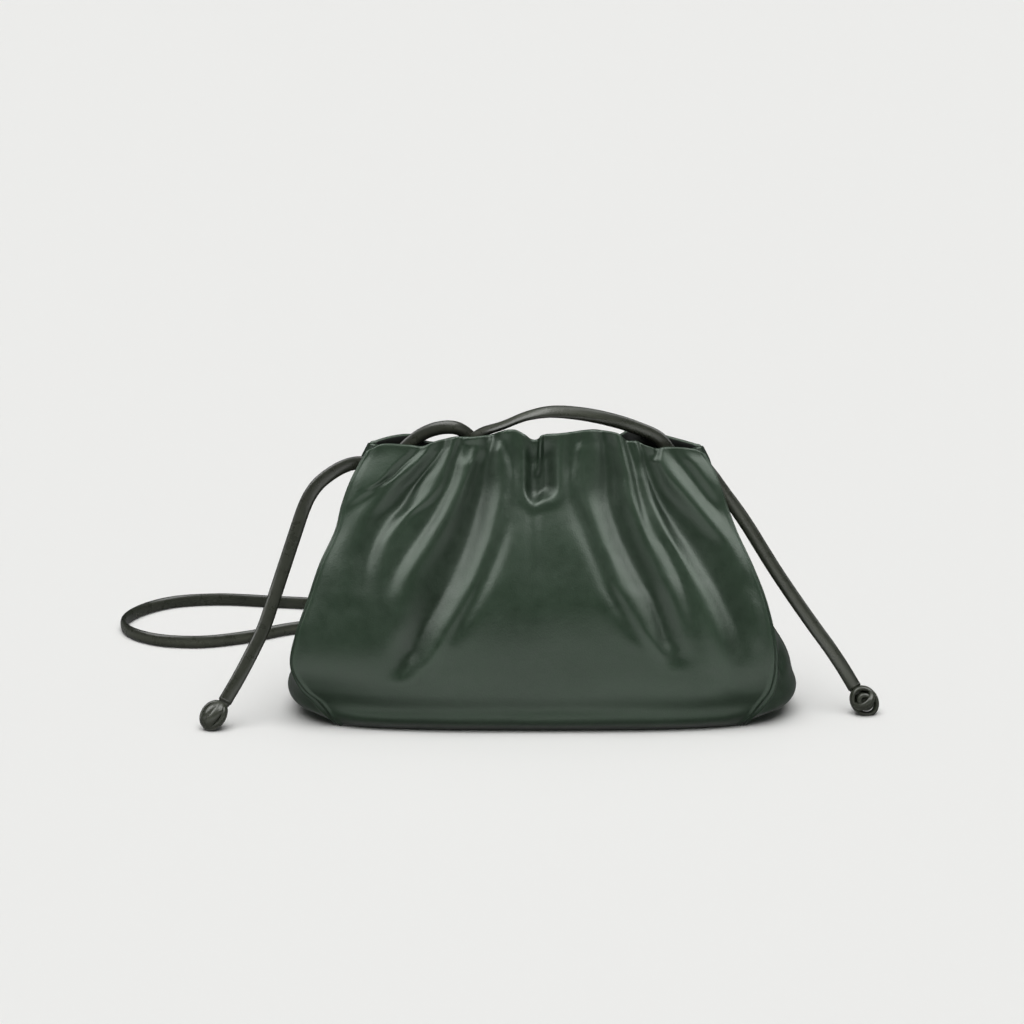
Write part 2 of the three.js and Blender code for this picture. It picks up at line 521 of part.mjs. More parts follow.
// The strap's section, flat with rounded edges.
function strapSection() {
  const halfWidth = STRAP_WIDTH / 2;
  const halfThickness = STRAP_THICKNESS / 2;
  const shoulder = halfWidth - halfThickness * STRAP_SHOULDER;
  const outline = new THREE.Shape();
  outline.moveTo(halfWidth, -halfThickness / 2);
  outline.lineTo(halfWidth, halfThickness / 2);
  outline.lineTo(shoulder, halfThickness);
  outline.lineTo(-shoulder, halfThickness);
  outline.lineTo(-halfWidth, halfThickness / 2);
  outline.lineTo(-halfWidth, -halfThickness / 2);
  outline.lineTo(-shoulder, -halfThickness);
  outline.lineTo(shoulder, -halfThickness);
  outline.closePath();
  return outline;
}

function strapGeometry(route, steps) {
  const settings = { steps, bevelEnabled: false, extrudePath: new StrapPath(route) };
  return new THREE.ExtrudeGeometry(strapSection(), settings);
}

// A knot: rings of strap round each other, filled in the middle, with a short cut end.
function knotGeometry(stubDirection) {
  let knot = solidOf(new THREE.SphereGeometry(KNOT_LOOP, KNOT_CORE_STEPS, KNOT_CORE_BANDS));
  for (const turn of KNOT_TURNS) {
    const radius = KNOT_LOOP * turn.size;
    const ring = new THREE.TorusGeometry(radius, KNOT_TURN_THICKNESS / 2, KNOT_RING_SIDES, KNOT_RING_STEPS);
    ring.rotateX(THREE.MathUtils.degToRad(turn.leanX));
    ring.rotateY(THREE.MathUtils.degToRad(turn.leanY));
    ring.translate(0, 0, turn.lift * KNOT_LOOP);
    knot = knot.add(solidOf(ring));
  }
  const length = KNOT_LOOP + KNOT_STUB;
  const stub = new THREE.ExtrudeGeometry(strapSection(), { depth: length, bevelEnabled: false });
  const out = new THREE.Vector3(...stubDirection).normalize();
  stub.applyQuaternion(new THREE.Quaternion().setFromUnitVectors(new THREE.Vector3(0, 0, 1), out));
  return geometryOf(knot.add(solidOf(stub)));
}

// Materials
const LEATHER = new THREE.MeshStandardMaterial({ color: 0x2f3a33, roughness: 0.42, metalness: 0 });
const STRAP_LEATHER = new THREE.MeshStandardMaterial({ color: 0x33382c, roughness: 0.45, metalness: 0 });

function piece(name, geometry, material) {
  const mesh = new THREE.Mesh(geometry, material);
  mesh.name = name;
  return mesh;
}

// A knot lies on the floor at the end of its tail.
function placedKnot(name, route, stubDirection) {
  const geometry = knotGeometry(stubDirection);
  geometry.computeBoundingBox();
  const end = routePoint(route[route.length - 1]);
  const before = routePoint(route[route.length - 2]);
  const away = end.clone().sub(before).normalize();
  const reach = KNOT_LOOP + KNOT_TURN_THICKNESS / 2 + KNOT_NECK;
  const mesh = piece(name, geometry, STRAP_LEATHER);
  mesh.position.copy(end).addScaledVector(away, reach);
  mesh.position.z = -geometry.boundingBox.min.z;
  return mesh;
}

const bag = new THREE.Group();
bag.add(
  piece('front_panel', wallGeometry(0, FRONT_COLUMNS, WALL_ROWS), LEATHER),
  piece('side_gusset_right', slottedGusset(1, TAIL_RIGHT_ROUTE), LEATHER),
  piece('back_panel', wallGeometry(2, BACK_COLUMNS, WALL_ROWS), LEATHER),
  piece('side_gusset_left', slottedGusset(3, TAIL_LEFT_ROUTE), LEATHER),
  piece('base_panel', baseGeometry(), LEATHER),
  piece('strap_tail_left', strapGeometry(TAIL_LEFT_ROUTE, TAIL_LEFT_ROUTE.length - 1), STRAP_LEATHER),
  piece('strap_tail_right', strapGeometry(TAIL_RIGHT_ROUTE, TAIL_RIGHT_ROUTE.length - 1), STRAP_LEATHER),
  piece('strap_loop', strapGeometry(LOOP_ROUTE, LOOP_ROUTE.length - 1), STRAP_LEATHER),
  placedKnot('knot_left', TAIL_LEFT_ROUTE, [-0.8, -0.3, -0.35]),
  placedKnot('knot_right', TAIL_RIGHT_ROUTE, [0.7, -0.5, -0.3]),
);

export default bag;
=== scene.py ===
"""A small gathered pouch bag of smooth dark green leather, with a long thin strap knotted at both ends.

Sizes are in millimetres or in shares of the bag's own sizes, and Blender's meshes are in metres.
"""
import math
from functools import partial

import bpy
import numpy as np
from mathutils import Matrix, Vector


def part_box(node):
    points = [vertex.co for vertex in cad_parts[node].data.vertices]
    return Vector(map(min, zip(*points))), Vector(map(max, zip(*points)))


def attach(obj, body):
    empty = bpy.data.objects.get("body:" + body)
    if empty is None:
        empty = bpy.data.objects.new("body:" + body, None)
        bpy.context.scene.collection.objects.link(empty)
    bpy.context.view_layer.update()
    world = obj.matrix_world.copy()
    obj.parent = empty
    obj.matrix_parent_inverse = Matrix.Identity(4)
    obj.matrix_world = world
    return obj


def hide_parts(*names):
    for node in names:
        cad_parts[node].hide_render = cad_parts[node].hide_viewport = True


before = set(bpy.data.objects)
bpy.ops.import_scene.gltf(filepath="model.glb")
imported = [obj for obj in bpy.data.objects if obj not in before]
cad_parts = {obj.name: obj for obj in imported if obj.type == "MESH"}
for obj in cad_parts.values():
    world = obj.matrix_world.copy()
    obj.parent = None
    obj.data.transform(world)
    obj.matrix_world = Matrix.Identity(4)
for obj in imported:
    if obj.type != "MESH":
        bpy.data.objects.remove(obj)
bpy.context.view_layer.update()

MM = 0.001

# Sizes of the body and of the strap in millimetres, then a knot's share of strap inside it, and the
# powers that shape the walls
WIDTH = 221.0
DEPTH = 90.0
HEIGHT = 126.0
WALL = 2.0
FOOT = 0.3
BASE_THICKNESS = 2.4
STRAP_WIDTH = 6.0
STRAP_THICKNESS = 2.6
STRAP_LIFT = 0.2
KNOT_THICKNESS = 2.4
KNOT_CORE = 0.74
PANEL_FULLNESS = 3
CORNER_FULLNESS = 2.4
TUCK_SHARPNESS = 2.5

# Camera
FRAME_PIXELS = 1024
FOCAL_PIXELS = 3424.5
SENSOR_MM = 36.0
VIEW_END = 50.0
CAMERA_DISTANCE = 1.5
CAMERA_ELEVATION = math.radians(14)
CAMERA_TARGET = Vector((-0.0123, 0.0, 0.0886))


def make_camera():
    data = bpy.data.cameras.new("camera")
    data.sensor_width = SENSOR_MM
    data.lens = FOCAL_PIXELS / FRAME_PIXELS * SENSOR_MM
    data.clip_end = VIEW_END
    camera = bpy.data.objects.new("camera", data)
    back = Vector((0.0, -math.cos(CAMERA_ELEVATION), math.sin(CAMERA_ELEVATION)))
    camera.location = CAMERA_TARGET + back * CAMERA_DISTANCE
    camera.rotation_euler = (-back).to_track_quat("-Z", "Y").to_euler()
    bpy.context.collection.objects.link(camera)
    bpy.context.scene.camera = camera


make_camera()


# Meshes
def mesh_piece(name, points, faces, materials, rub_and_painted_shading, inner=None):
    """A smooth mesh of points in millimetres, each with a value that lightens its colour: a base tone
    together with painted highlights and painted shade.

    inner marks the faces of the second material.
    """
    mesh = bpy.data.meshes.new(name)
    mesh.from_pydata((np.asarray(points) * MM).tolist(), [], faces)
    for material in materials:
        mesh.materials.append(material)
    if inner is not None:
        mesh.polygons.foreach_set("material_index", inner)
    mesh.polygons.foreach_set("use_smooth", np.ones(len(faces), dtype=bool))
    layer = mesh.attributes.new("rub_and_painted_shading", "FLOAT", "POINT")
    layer.data.foreach_set("value", np.asarray(rub_and_painted_shading, dtype=np.float32))
    mesh.update()
    piece = bpy.data.objects.new(name, mesh)
    bpy.context.collection.objects.link(piece)
    return piece


def ring_faces(rings, count):
    """Faces of a stack of rings with count points each, closed at both ends."""
    faces = []
    for ring in range(rings - 1):
        for start in range(count):
            a = ring * count + start
            b = ring * count + (start + 1) % count
            faces.append((a, b, b + count, a + count))
    faces.append(tuple(reversed(range(count))))
    faces.append(tuple(range((rings - 1) * count, rings * count)))
    return faces


def unit(vectors):
    return vectors / np.maximum(np.linalg.norm(vectors, axis=-1, keepdims=True), 1e-9)


def smooth_step(low, high, value):
    share = np.clip((value - low) / (high - low), 0.0, 1.0)
    return share * share * (3 - 2 * share)


def bump(value, middle, reach):
    return np.exp(-(((value - middle) / reach) ** 2))


def read_line(keys, values, at, level=False):
    """Values along a smooth line through rows. A level line doesn't overshoot and is flat at its ends."""
    secants = np.diff(values) / np.diff(keys)
    slopes = np.empty_like(values)
    slopes[1:-1] = (values[2:] - values[:-2]) / (keys[2:] - keys[:-2])
    slopes[0], slopes[-1] = secants[0], secants[-1]
    if level:
        limit = 3 * np.minimum(np.abs(secants[1:]), np.abs(secants[:-1]))
        slopes[1:-1] = np.where(secants[1:] * secants[:-1] > 0, np.clip(slopes[1:-1], -limit, limit), 0.0)
        slopes[0] = slopes[-1] = 0.0
    index = np.clip(np.searchsorted(keys, at, side="right") - 1, 0, len(keys) - 2)
    span = keys[index + 1] - keys[index]
    share = np.clip((at - keys[index]) / span, 0.0, 1.0)
    square, cube = share**2, share**3
    return (
        (2 * cube - 3 * square + 1) * values[index]
        + (cube - 2 * square + share) * span * slopes[index]
        + (3 * square - 2 * cube) * values[index + 1]
        + (cube - square) * span * slopes[index + 1]
    )


# Materials
MOTTLE_SHARE = 0.55
CLOUD_SHARE = 0.22
PORE_SOFTNESS = 0.35
GLOSSIER = 0.04
DULLER = 0.06
LEATHER_IOR = 1.45
WHITE = (1.0, 1.0, 1.0)


def node_tree(name):
    material = bpy.data.materials.new(name)
    material.use_nodes = True
    tree = material.node_tree
    return material, tree.nodes, tree.links, tree.nodes["Principled BSDF"]


def add_node(nodes, kind, inputs=(), **settings):
    node = nodes.new(kind)
    for key, value in settings.items():
        setattr(node, key, value)
    for key, value in dict(inputs).items():
        node.inputs[key].default_value = value
    return node


def leather(name, deep, lighter_tone, roughness, grain_size, grain_depth, crease_depth, tint=WHITE):
    """Smooth leather: fine pores, faint creases, mottled dye, and lighter where a per-point value is high;
    that value carries painted highlights and painted shade.
    """
    material, nodes, links, shader = node_tree(name)
    place = add_node(nodes, "ShaderNodeTexCoord").outputs["Object"]
    mottle = add_node(nodes, "ShaderNodeTexNoise", {"Scale": 26.0, "Detail": 4.0, "Roughness": 0.55})
    cloud = add_node(nodes, "ShaderNodeTexNoise", {"Scale": 190.0, "Detail": 3.0, "Roughness": 0.6})
    pores = add_node(nodes, "ShaderNodeTexVoronoi", {"Scale": 1.0 / grain_size}, feature="SMOOTH_F1")
    pores.inputs["Smoothness"].default_value = PORE_SOFTNESS
    creases = add_node(nodes, "ShaderNodeTexNoise", {"Scale": 310.0, "Detail": 6.0, "Distortion": 0.6})
    for node in (mottle, cloud, pores, creases):
        links.new(place, node.inputs["Vector"])

    # The per-point value lightens the colour: a base tone with painted highlights and painted shade.
    rub_and_painted_shading = add_node(nodes, "ShaderNodeAttribute", attribute_name="rub_and_painted_shading")
    mottled = add_node(nodes, "ShaderNodeMath", {1: MOTTLE_SHARE}, operation="MULTIPLY_ADD")
    links.new(mottle.outputs["Fac"], mottled.inputs[0])
    links.new(rub_and_painted_shading.outputs["Fac"], mottled.inputs[2])
    clouded = add_node(nodes, "ShaderNodeMath", {1: CLOUD_SHARE}, operation="MULTIPLY_ADD")
    links.new(cloud.outputs["Fac"], clouded.inputs[0])
    links.new(mottled.outputs[0], clouded.inputs[2])
    spread = add_node(nodes, "ShaderNodeMapRange", {"From Min": 0.1, "From Max": 0.85})
    links.new(clouded.outputs[0], spread.inputs["Value"])
    blend = add_node(nodes, "ShaderNodeMix", {6: (*deep, 1.0), 7: (*lighter_tone, 1.0)}, data_type="RGBA")
    links.new(spread.outputs[0], blend.inputs[0])
    links.new(blend.outputs[2], shader.inputs["Base Color"])

    reach = {"To Min": roughness - GLOSSIER, "To Max": roughness + DULLER}
    gloss = add_node(nodes, "ShaderNodeMapRange", {"From Min": 0.25, "From Max": 0.75, **reach})
    links.new(cloud.outputs["Fac"], gloss.inputs["Value"])
    links.new(gloss.outputs[0], shader.inputs["Roughness"])
    shader.inputs["IOR"].default_value = LEATHER_IOR
    shader.inputs["Specular Tint"].default_value = (*tint, 1.0)

    grain = add_node(nodes, "ShaderNodeBump", {"Strength": 1.0, "Distance": grain_depth})
    links.new(pores.outputs["Distance"], grain.inputs["Height"])
    crease = add_node(nodes, "ShaderNodeBump", {"Strength": 1.0, "Distance": crease_depth})
    links.new(creases.outputs["Fac"], crease.inputs["Height"])
    links.new(grain.outputs["Normal"], crease.inputs["Normal"])
    links.new(crease.outputs["Normal"], shader.inputs["Normal"])
    return material


BODY = leather(
    "body_leather",
    deep=(0.0055, 0.0135, 0.006),
    lighter_tone=(0.0225, 0.043, 0.0245),
    roughness=0.37,
    grain_size=0.0007,
    grain_depth=0.00003,
    crease_depth=0.00006,
    tint=(0.92, 1.0, 0.93),
)
STRAP = leather(
    "strap_leather",
    deep=(0.009, 0.0112, 0.007),
    lighter_tone=(0.062, 0.068, 0.05),
    roughness=0.28,
    grain_size=0.0006,
    grain_depth=0.00003,
    crease_depth=0.00005,
)
LINING = leather(
    "inner_suede",
    deep=(0.012, 0.015, 0.012),
    lighter_tone=(0.02, 0.025, 0.02),
    roughness=0.85,
    grain_size=0.0004,
    grain_depth=0.00006,
    crease_depth=0.00008,
)

# Strap. A route's row is across as a share of half the width, deep of half the depth, up of the height
# above a strap that stands on its edge on the floor, then the way that its width faces.
TAIL_LEFT_ROUTE = [
    (-0.6308, 0, 0.8476, 0, 0, 1),
    (-0.6715, -0.0044, 0.8492, 0, 0, 1),
    (-0.7095, -0.0178, 0.8548, -0.1, 0, 1),
    (-0.7439, -0.0311, 0.8524, -0.2, 0, 1),
    (-0.7819, -0.0444, 0.8413, -0.4, 0, 1),
    (-0.829, -0.0667, 0.8183, -0.6, 0, 0.8),
    (-0.8769, -0.0889, 0.7841, -0.8, 0, 0.6),
    (-0.9104, -0.1111, 0.7444, -0.9, 0, 0.4),
    (-0.9357, -0.14, 0.6968, -1, 0, 0.3),
    (-0.9611, -0.1889, 0.6333, -1, 0, 0.25),
    (-0.9919, -0.2556, 0.554, -1, 0, 0.3),
    (-1.0244, -0.3333, 0.4706, -1, 0, 0.3),
    (-1.0552, -0.4222, 0.3913, -1, 0, 0.3),
    (-1.0878, -0.5111, 0.3119, -1, 0, 0.4),
    (-1.133, -0.6, 0.2325, -1, 0, 0.5),
    (-1.1891, -0.6867, 0.1437, -1, 0, 0.5),
    (-1.2398, -0.7378, 0.0698, -1, 0, 0.6),
]
TAIL_RIGHT_ROUTE = [
    (0.5692, 0, 0.8468, 0, 0, 1),
    (0.5973, 0, 0.8437, 0.1, 0, 1),
    (0.6281, 0, 0.8405, 0.2, 0, 1),
    (0.6552, 0, 0.831, 0.5, 0, 1),
    (0.6778, -0.0044, 0.8087, 0.8, 0, 0.7),
    (0.7023, -0.0089, 0.7794, 0.9, 0, 0.5),
    (0.7348, -0.0156, 0.7397, 0.9, 0, 0.5),
    (0.7729, -0.0244, 0.6952, 0.9, 0, 0.5),
    (0.8217, -0.0422, 0.6333, 0.9, 0, 0.5),
    (0.8706, -0.0667, 0.5651, 0.9, 0, 0.6),
    (0.9267, -0.0978, 0.4873, 0.9, 0, 0.7),
    (0.9828, -0.1289, 0.4143, 0.9, 0, 0.7),
    (1.0389, -0.16, 0.3444, 0.9, 0, 0.7),
    (1.095, -0.1911, 0.2762, 0.9, 0, 0.7),
    (1.1511, -0.2178, 0.2095, 0.9, 0, 0.7),
    (1.2036, -0.2378, 0.1413, 0.9, 0, 0.6),
    (1.2543, -0.2489, 0.0675, 0.9, 0, 0.5),
]
LOOP_ROUTE = [
    (-0.6253, 0, 0.8476, 0, 0, 1),
    (-0.6027, 0.0022, 0.8492, -0.2, 0, 1),
    (-0.5647, 0.0178, 0.8746, -0.4, 0, 1),
    (-0.5204, 0.0578, 0.9143, -0.5, 0, 1),
    (-0.4615, 0.12, 0.9476, -0.3, 0, 1),
    (-0.3982, 0.1867, 0.9619, 0, 0.2, 1),
    (-0.3348, 0.2711, 0.9556, 0.2, 0.5, 1),
    (-0.2805, 0.3778, 0.9175, 0.6, 0.6, 0.8),
    (-0.2308, 0.48, 0.8444, 1, 0.2, 0.4),
    (-0.1855, 0.6311, 0.7365, 1, 0, 0.3),
    (-0.1448, 0.8222, 0.5937, 1, 0, 0.2),
    (-0.1086, 0.9889, 0.4349, 1, 0.1, 0.2),
    (-0.0796, 1.1222, 0.2762, 1, 0.2, 0.2),
    (-0.0633, 1.2889, 0.1294, 1, 0.4, 0.4),
    (-0.0679, 1.5667, 0.0381, 0.9, 0.4, 0.8),
    (-0.1086, 1.9556, 0.0063, 0.4, 0, 1),
    (-0.2081, 2.4222, 0.0008, 0, 0, 1),
    (-0.3801, 2.8889, 0, 0, 0, 1),
    (-0.6154, 3.2444, 0, 0, 0, 1),
    (-0.8778, 3.4444, 0, 0, 0, 1),
    (-1.1584, 3.5778, 0, 0, 0, 1),
    (-1.4118, 3.6778, 0, 0, 0, 1),
    (-1.6109, 3.5667, 0, 0, 0, 1),
    (-1.7421, 3.2222, 0, 0, 0, 1),
    (-1.7964, 2.7556, 0, 0, 0, 1),
    (-1.7421, 2.3556, 0, 0, 0, 1),
    (-1.6109, 2.0778, 0, 0, 0, 1),
    (-1.4344, 2.0111, 0, 0, 0, 1),
    (-1.2489, 2.1889, 0, 0, 0, 1),
    (-1.0679, 2.5111, 0, 0, 0, 1),
    (-0.8597, 2.7, 0, 0, 0, 1),
    (-0.6516, 2.5778, 0.0008, 0, 0, 1),
    (-0.4887, 2.2, 0.0063, -0.4, 0, 1),
    (-0.3937, 1.7667, 0.0421, -0.9, 0.4, 0.8),
    (-0.3439, 1.3778, 0.1294, -1, 0.4, 0.4),
    (-0.3348, 1.1333, 0.2603, -1, 0.2, 0.2),
    (-0.3484, 0.9778, 0.427, -1, 0.1, 0.2),
    (-0.362, 0.7889, 0.5937, -1, 0, 0.2),
    (-0.362, 0.5667, 0.7444, -1, 0, 0.2),
    (-0.308, 0.3956, 0.8611, -0.9, 0.3, 0.3),
    (-0.231, 0.2622, 0.9381, -0.5, 0.9, 0.2),
    (-0.149, 0.1689, 0.9722, -0.1, 1, 0.3),
    (-0.054, 0.1111, 1.0103, 0, 1, 0.5),
    (0.0362, 0.08, 1.0278, 0, 0.8, 0.8),
    (0.1448, 0.0667, 1.0238, 0, 0.5, 1),
    (0.2624, 0.0533, 1.0056, 0.2, 0.2, 1),
    (0.3756, 0.0267, 0.977, 0.3, 0, 1),
    (0.4661, 0.0089, 0.9413, 0.3, 0, 1),
    (0.5104, 0.0022, 0.8952, 0.4, 0, 1),
    (0.5357, 0, 0.8571, 0.3, 0, 1),
    (0.5602, 0, 0.8484, 0, 0, 1),
]

# Meshes of the strap and its knots, and their base tone with painted shading: a painted highlight along the
# strap's crown and painted shade at its edges
STRETCH_STEPS = 8
BAND_SIDES = 28
BAND_SQUARENESS = 0.85
BAND_RUB = 0.04
CROWN_PAINTED_HIGHLIGHT = 0.4
CROWN_REACH = 0.42
EDGE_PAINTED_SHADE = 0.3
EDGE_SHARPNESS = 6
TURN_STEPS = 48
TURN_SIDES = 20
TURN_RUB = 0.16
MIDDLE_RINGS = 13
MIDDLE_SIDES = 24
NECK_REACH = 1.2
NECK_START = 1.03
NECK_END = 0.6

# Knots: half sizes along, across and through, then the turns. A turn's row is the way that it wraps
# round, its half sizes along the knot and across it, its strap's width and its shift.
LEFT_KNOT_HALF = (6.0, 4.8, 4.6)
LEFT_TURNS = (
    ((-0.75, 0.1, 0.6), 6.0, 4.6, 4.2, 0.0),
    ((-0.35, -0.75, 0.45), 5.8, 4.8, 4.0, 0.7),
    ((-0.6, 0.8, 0.35), 5.8, 4.6, 4.0, 0.0),
)
RIGHT_KNOT_HALF = (6.2, 4.9, 4.0)
RIGHT_TURNS = (
    ((0.1, -1.0, 0.2), 6.2, 4.9, 5.0, 0.0),
    ((0.1, -1.0, 0.2), 2.9, 2.3, 2.4, 2.6),
    ((-0.5, -0.35, 0.8), 5.0, 4.4, 3.8, 1.4),
)


def route_points(route):
    rows = np.array(route, dtype=float)
    points = rows[:, :3] * (WIDTH / 2, DEPTH / 2, HEIGHT)
    points[:, 2] += STRAP_WIDTH / 2 + STRAP_LIFT
    return points, unit(rows[:, 3:6])


def curve_through(points):
    """A centripetal curve through points, with as many steps in each stretch."""
    rows = np.vstack([2 * points[0] - points[1], points, 2 * points[-1] - points[-2]])
    share = (np.arange(STRETCH_STEPS) / STRETCH_STEPS)[:, None]
    curve = []
    for before, start, end, after in zip(rows, rows[1:], rows[2:], rows[3:]):
        gaps = [math.sqrt(np.linalg.norm(b - a)) for a, b in ((before, start), (start, end), (end, after))]
        leave = (start - before) / gaps[0] - (end - before) / (gaps[0] + gaps[1]) + (end - start) / gaps[1]
        arrive = (end - start) / gaps[1] - (after - start) / (gaps[1] + gaps[2]) + (after - end) / gaps[2]
        leave, arrive = leave * gaps[1], arrive * gaps[1]
        bend = 3 * (end - start) - 2 * leave - arrive
        turn = 2 * (start - end) + leave + arrive
        curve.append(start + leave * share + bend * share**2 + turn * share**3)
    curve.append(points[-1:])
    return np.vstack(curve)


def band_mesh(path, widths, size):
    """A strap swept along path, its width facing as widths say, with crowned faces and rounded edges."""
    tangents = unit(np.gradient(path, axis=0))
    widths = unit(widths - (widths * tangents).sum(1, keepdims=True) * tangents)
    upward = np.cross(tangents, widths)
    turn = np.linspace(0, 2 * math.pi, BAND_SIDES, endpoint=False)
    across = np.sign(np.cos(turn)) * np.abs(np.cos(turn)) ** BAND_SQUARENESS
    up = np.sin(turn)
    wide = size[:, None, None] * (across * STRAP_WIDTH / 2)[None, :, None]
    high = size[:, None, None] * (up * STRAP_THICKNESS / 2)[None, :, None]
    points = path[:, None] + widths[:, None] * wide + upward[:, None] * high
    # Painted shading: a painted highlight along the middle of the strap's upper face, and painted shade at
    # its edges.
    edge = np.abs(across) ** EDGE_SHARPNESS
    crown = bump(across, 0.0, CROWN_REACH) * (up > 0)
    rub_and_painted_shading = np.tile(BAND_RUB + CROWN_PAINTED_HIGHLIGHT * crown - EDGE_PAINTED_SHADE * edge, len(path))
    return points.reshape(-1, 3), ring_faces(len(path), BAND_SIDES), rub_and_painted_shading


def strap_piece(name, route):
    points, widths = route_points(route)
    path = curve_through(points)
    rows = np.arange(len(points), dtype=float)
    at = np.linspace(0, len(points) - 1, len(path))
    widths = np.stack([read_line(rows, widths[:, axis], at) for axis in range(3)], axis=1)
    points, faces, rub_and_painted_shading = band_mesh(path, widths, np.ones(len(path)))
    return mesh_piece(name, points, faces, [STRAP], rub_and_painted_shading), path


def knot_axes(along, normal):
    """The ways along a knot, across it and through it, square to each other, where normal is through it."""
    normal = unit(np.array(normal, dtype=float))
    side = unit(np.cross(normal, along))
    return np.cross(side, normal), side, normal


def closed_turn(centre, along, normal, reach, girth, width, shift):
    """One turn of strap round normal: an oval with reach and girth as its half sizes."""
    along, side, normal = knot_axes(along, normal)
    turn = np.linspace(0, 2 * math.pi, TURN_STEPS, endpoint=False)[:, None]
    path = centre + shift * normal + reach * np.cos(turn) * along + girth * np.sin(turn) * side
    outward = unit(girth * np.cos(turn) * along + reach * np.sin(turn) * side)
    section = np.linspace(0, 2 * math.pi, TURN_SIDES, endpoint=False)[None, :, None]
    points = path[:, None] + normal * (np.cos(section) * width / 2)
    points = points + outward[:, None] * (np.sin(section) * KNOT_THICKNESS / 2)
    index = np.arange(TURN_STEPS * TURN_SIDES).reshape(TURN_STEPS, TURN_SIDES)
    follow = np.roll(index, -1, axis=0)
    corners = (index, np.roll(index, 1, axis=1), np.roll(follow, 1, axis=1), follow)
    faces = np.stack(corners, axis=-1).reshape(-1, 4).tolist()
    return points.reshape(-1, 3), faces, np.full(index.size, TURN_RUB)


def knot_middle(centre, along, normal, half):
    """The strap hidden inside the knot, as one rounded lump."""
    along, side, normal = knot_axes(along, normal)
    down = np.linspace(0, math.pi, MIDDLE_RINGS + 2)[1:-1, None, None]
    turn = np.linspace(0, 2 * math.pi, MIDDLE_SIDES, endpoint=False)[None, :, None]
    rings = half[0] * np.cos(down) * along + half[1] * np.sin(down) * np.cos(turn) * side
    rings = rings + half[2] * np.sin(down) * np.sin(turn) * normal
    points = np.vstack([centre + half[0] * along, centre + rings.reshape(-1, 3), centre - half[0] * along])
    index = 1 + np.arange(MIDDLE_RINGS * MIDDLE_SIDES).reshape(MIDDLE_RINGS, MIDDLE_SIDES)
    follow = np.roll(index, -1, axis=1)
    faces = np.stack([index[:-1], index[1:], follow[1:], follow[:-1]], axis=-1).reshape(-1, 4).tolist()
    faces += [(0, int(a), int(b)) for a, b in zip(index[0], follow[0])]
    faces += [(len(points) - 1, int(b), int(a)) for a, b in zip(index[-1], follow[-1])]
    return points, faces, np.zeros(len(points))


def knot_piece(name, node, tail, route, half, turns):
    """A tight knot at the tail's end: the tail dives in between turns that wrap a round middle."""
    low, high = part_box(node)
    centre = (np.array(low) + np.array(high)) / 2 / MM
    onward = unit(tail[-1] - tail[-2])
    neck = curve_through(np.array([tail[-1] - NECK_REACH * onward, tail[-1] + NECK_REACH * onward, centre]))
    widths = np.tile(route_points(route)[1][-1], (len(neck), 1))
    parts = [band_mesh(neck, widths, np.linspace(NECK_START, NECK_END, len(neck)))]
    along = unit(tail[-1] - centre)
    parts.append(knot_middle(centre, along, turns[0][0], KNOT_CORE * np.array(half)))
    parts.extend(closed_turn(centre, along, *turn) for turn in turns)
    points, faces, rub_and_painted_shading = [], [], []
    for part_points, part_faces, part_rub_and_painted_shading in parts:
        start = sum(len(earlier) for earlier in points)
        faces += [tuple(start + corner for corner in face) for face in part_faces]
        points.append(part_points)
        rub_and_painted_shading.append(part_rub_and_painted_shading)
    points = np.vstack(points)
    points[:, 2] = np.maximum(points[:, 2], STRAP_LIFT)
    return mesh_piece(name, points, faces, [STRAP], np.concatenate(rub_and_painted_shading))


tail_left, tail_left_path = strap_piece("strap_tail_left_band", TAIL_LEFT_ROUTE)
tail_right, tail_right_path = strap_piece("strap_tail_right_band", TAIL_RIGHT_ROUTE)
loop, loop_path = strap_piece("strap_loop_band", LOOP_ROUTE)
knot_left = knot_piece(
    "knot_left_turns", "knot_left", tail_left_path, TAIL_LEFT_ROUTE, LEFT_KNOT_HALF, LEFT_TURNS
)
knot_right = knot_piece(
    "knot_right_turns", "knot_right", tail_right_path, TAIL_RIGHT_ROUTE, RIGHT_KNOT_HALF, RIGHT_TURNS
)
for piece, node in (
    (tail_left, "strap_tail_left"),
    (tail_right, "strap_tail_right"),
    (loop, "strap_loop"),
    (knot_left, "knot_left"),
    (knot_right, "knot_right"),
):
    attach(piece, "root")
    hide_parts(node)

# Body
# Level sections of the body, all in shares
SECTION_COLUMNS = ("height", "left", "right", "middle", "seam", "out_left", "out_right")
SECTIONS = [
    (0, 0.8, 0.8, 0.79, 0.633, 0.064, 0.064),
    (0.03, 0.818, 0.818, 0.855, 0.69, 0.118, 0.127),
    (0.1, 0.873, 0.873, 0.94, 0.72, 0.115, 0.12),
    (0.145, 0.929, 0.905, 0.965, 0.733, 0.07, 0.093),
    (0.235, 0.98, 0.926, 0.97, 0.745, 0.014, 0.055),
    (0.35, 0.961, 0.918, 0.935, 0.71, 0, 0.014),
    (0.48, 0.912, 0.886, 0.833, 0.62, -0.005, 0),
    (0.6, 0.868, 0.836, 0.69, 0.533, -0.01, -0.01),
    (0.72, 0.807, 0.775, 0.533, 0.42, -0.035, -0.035),
    (0.81, 0.782, 0.738, 0.41, 0.333, -0.058, -0.058),
    (0.89, 0.751, 0.709, 0.315, 0.285, -0.068, -0.068),
    (0.95, 0.718, 0.682, 0.25, 0.235, -0.06, -0.06),
    (1, 0.684, 0.649, 0.21, 0.2, -0.038, -0.038),
]
SECTION_LINES = dict(zip(SECTION_COLUMNS, np.array(SECTIONS, dtype=float).T))

# How much farther in the back seams are: height, share of half the width
BACK_INSET = np.array([
    (0, 0),
    (0.03, 0.004),
    (0.1, 0.02),
    (0.235, 0.055),
    (0.35, 0.062),
    (0.48, 0.062),
    (0.6, 0.055),
    (0.81, 0.03),
    (0.95, 0.008),
    (1, 0),
], dtype=float).T

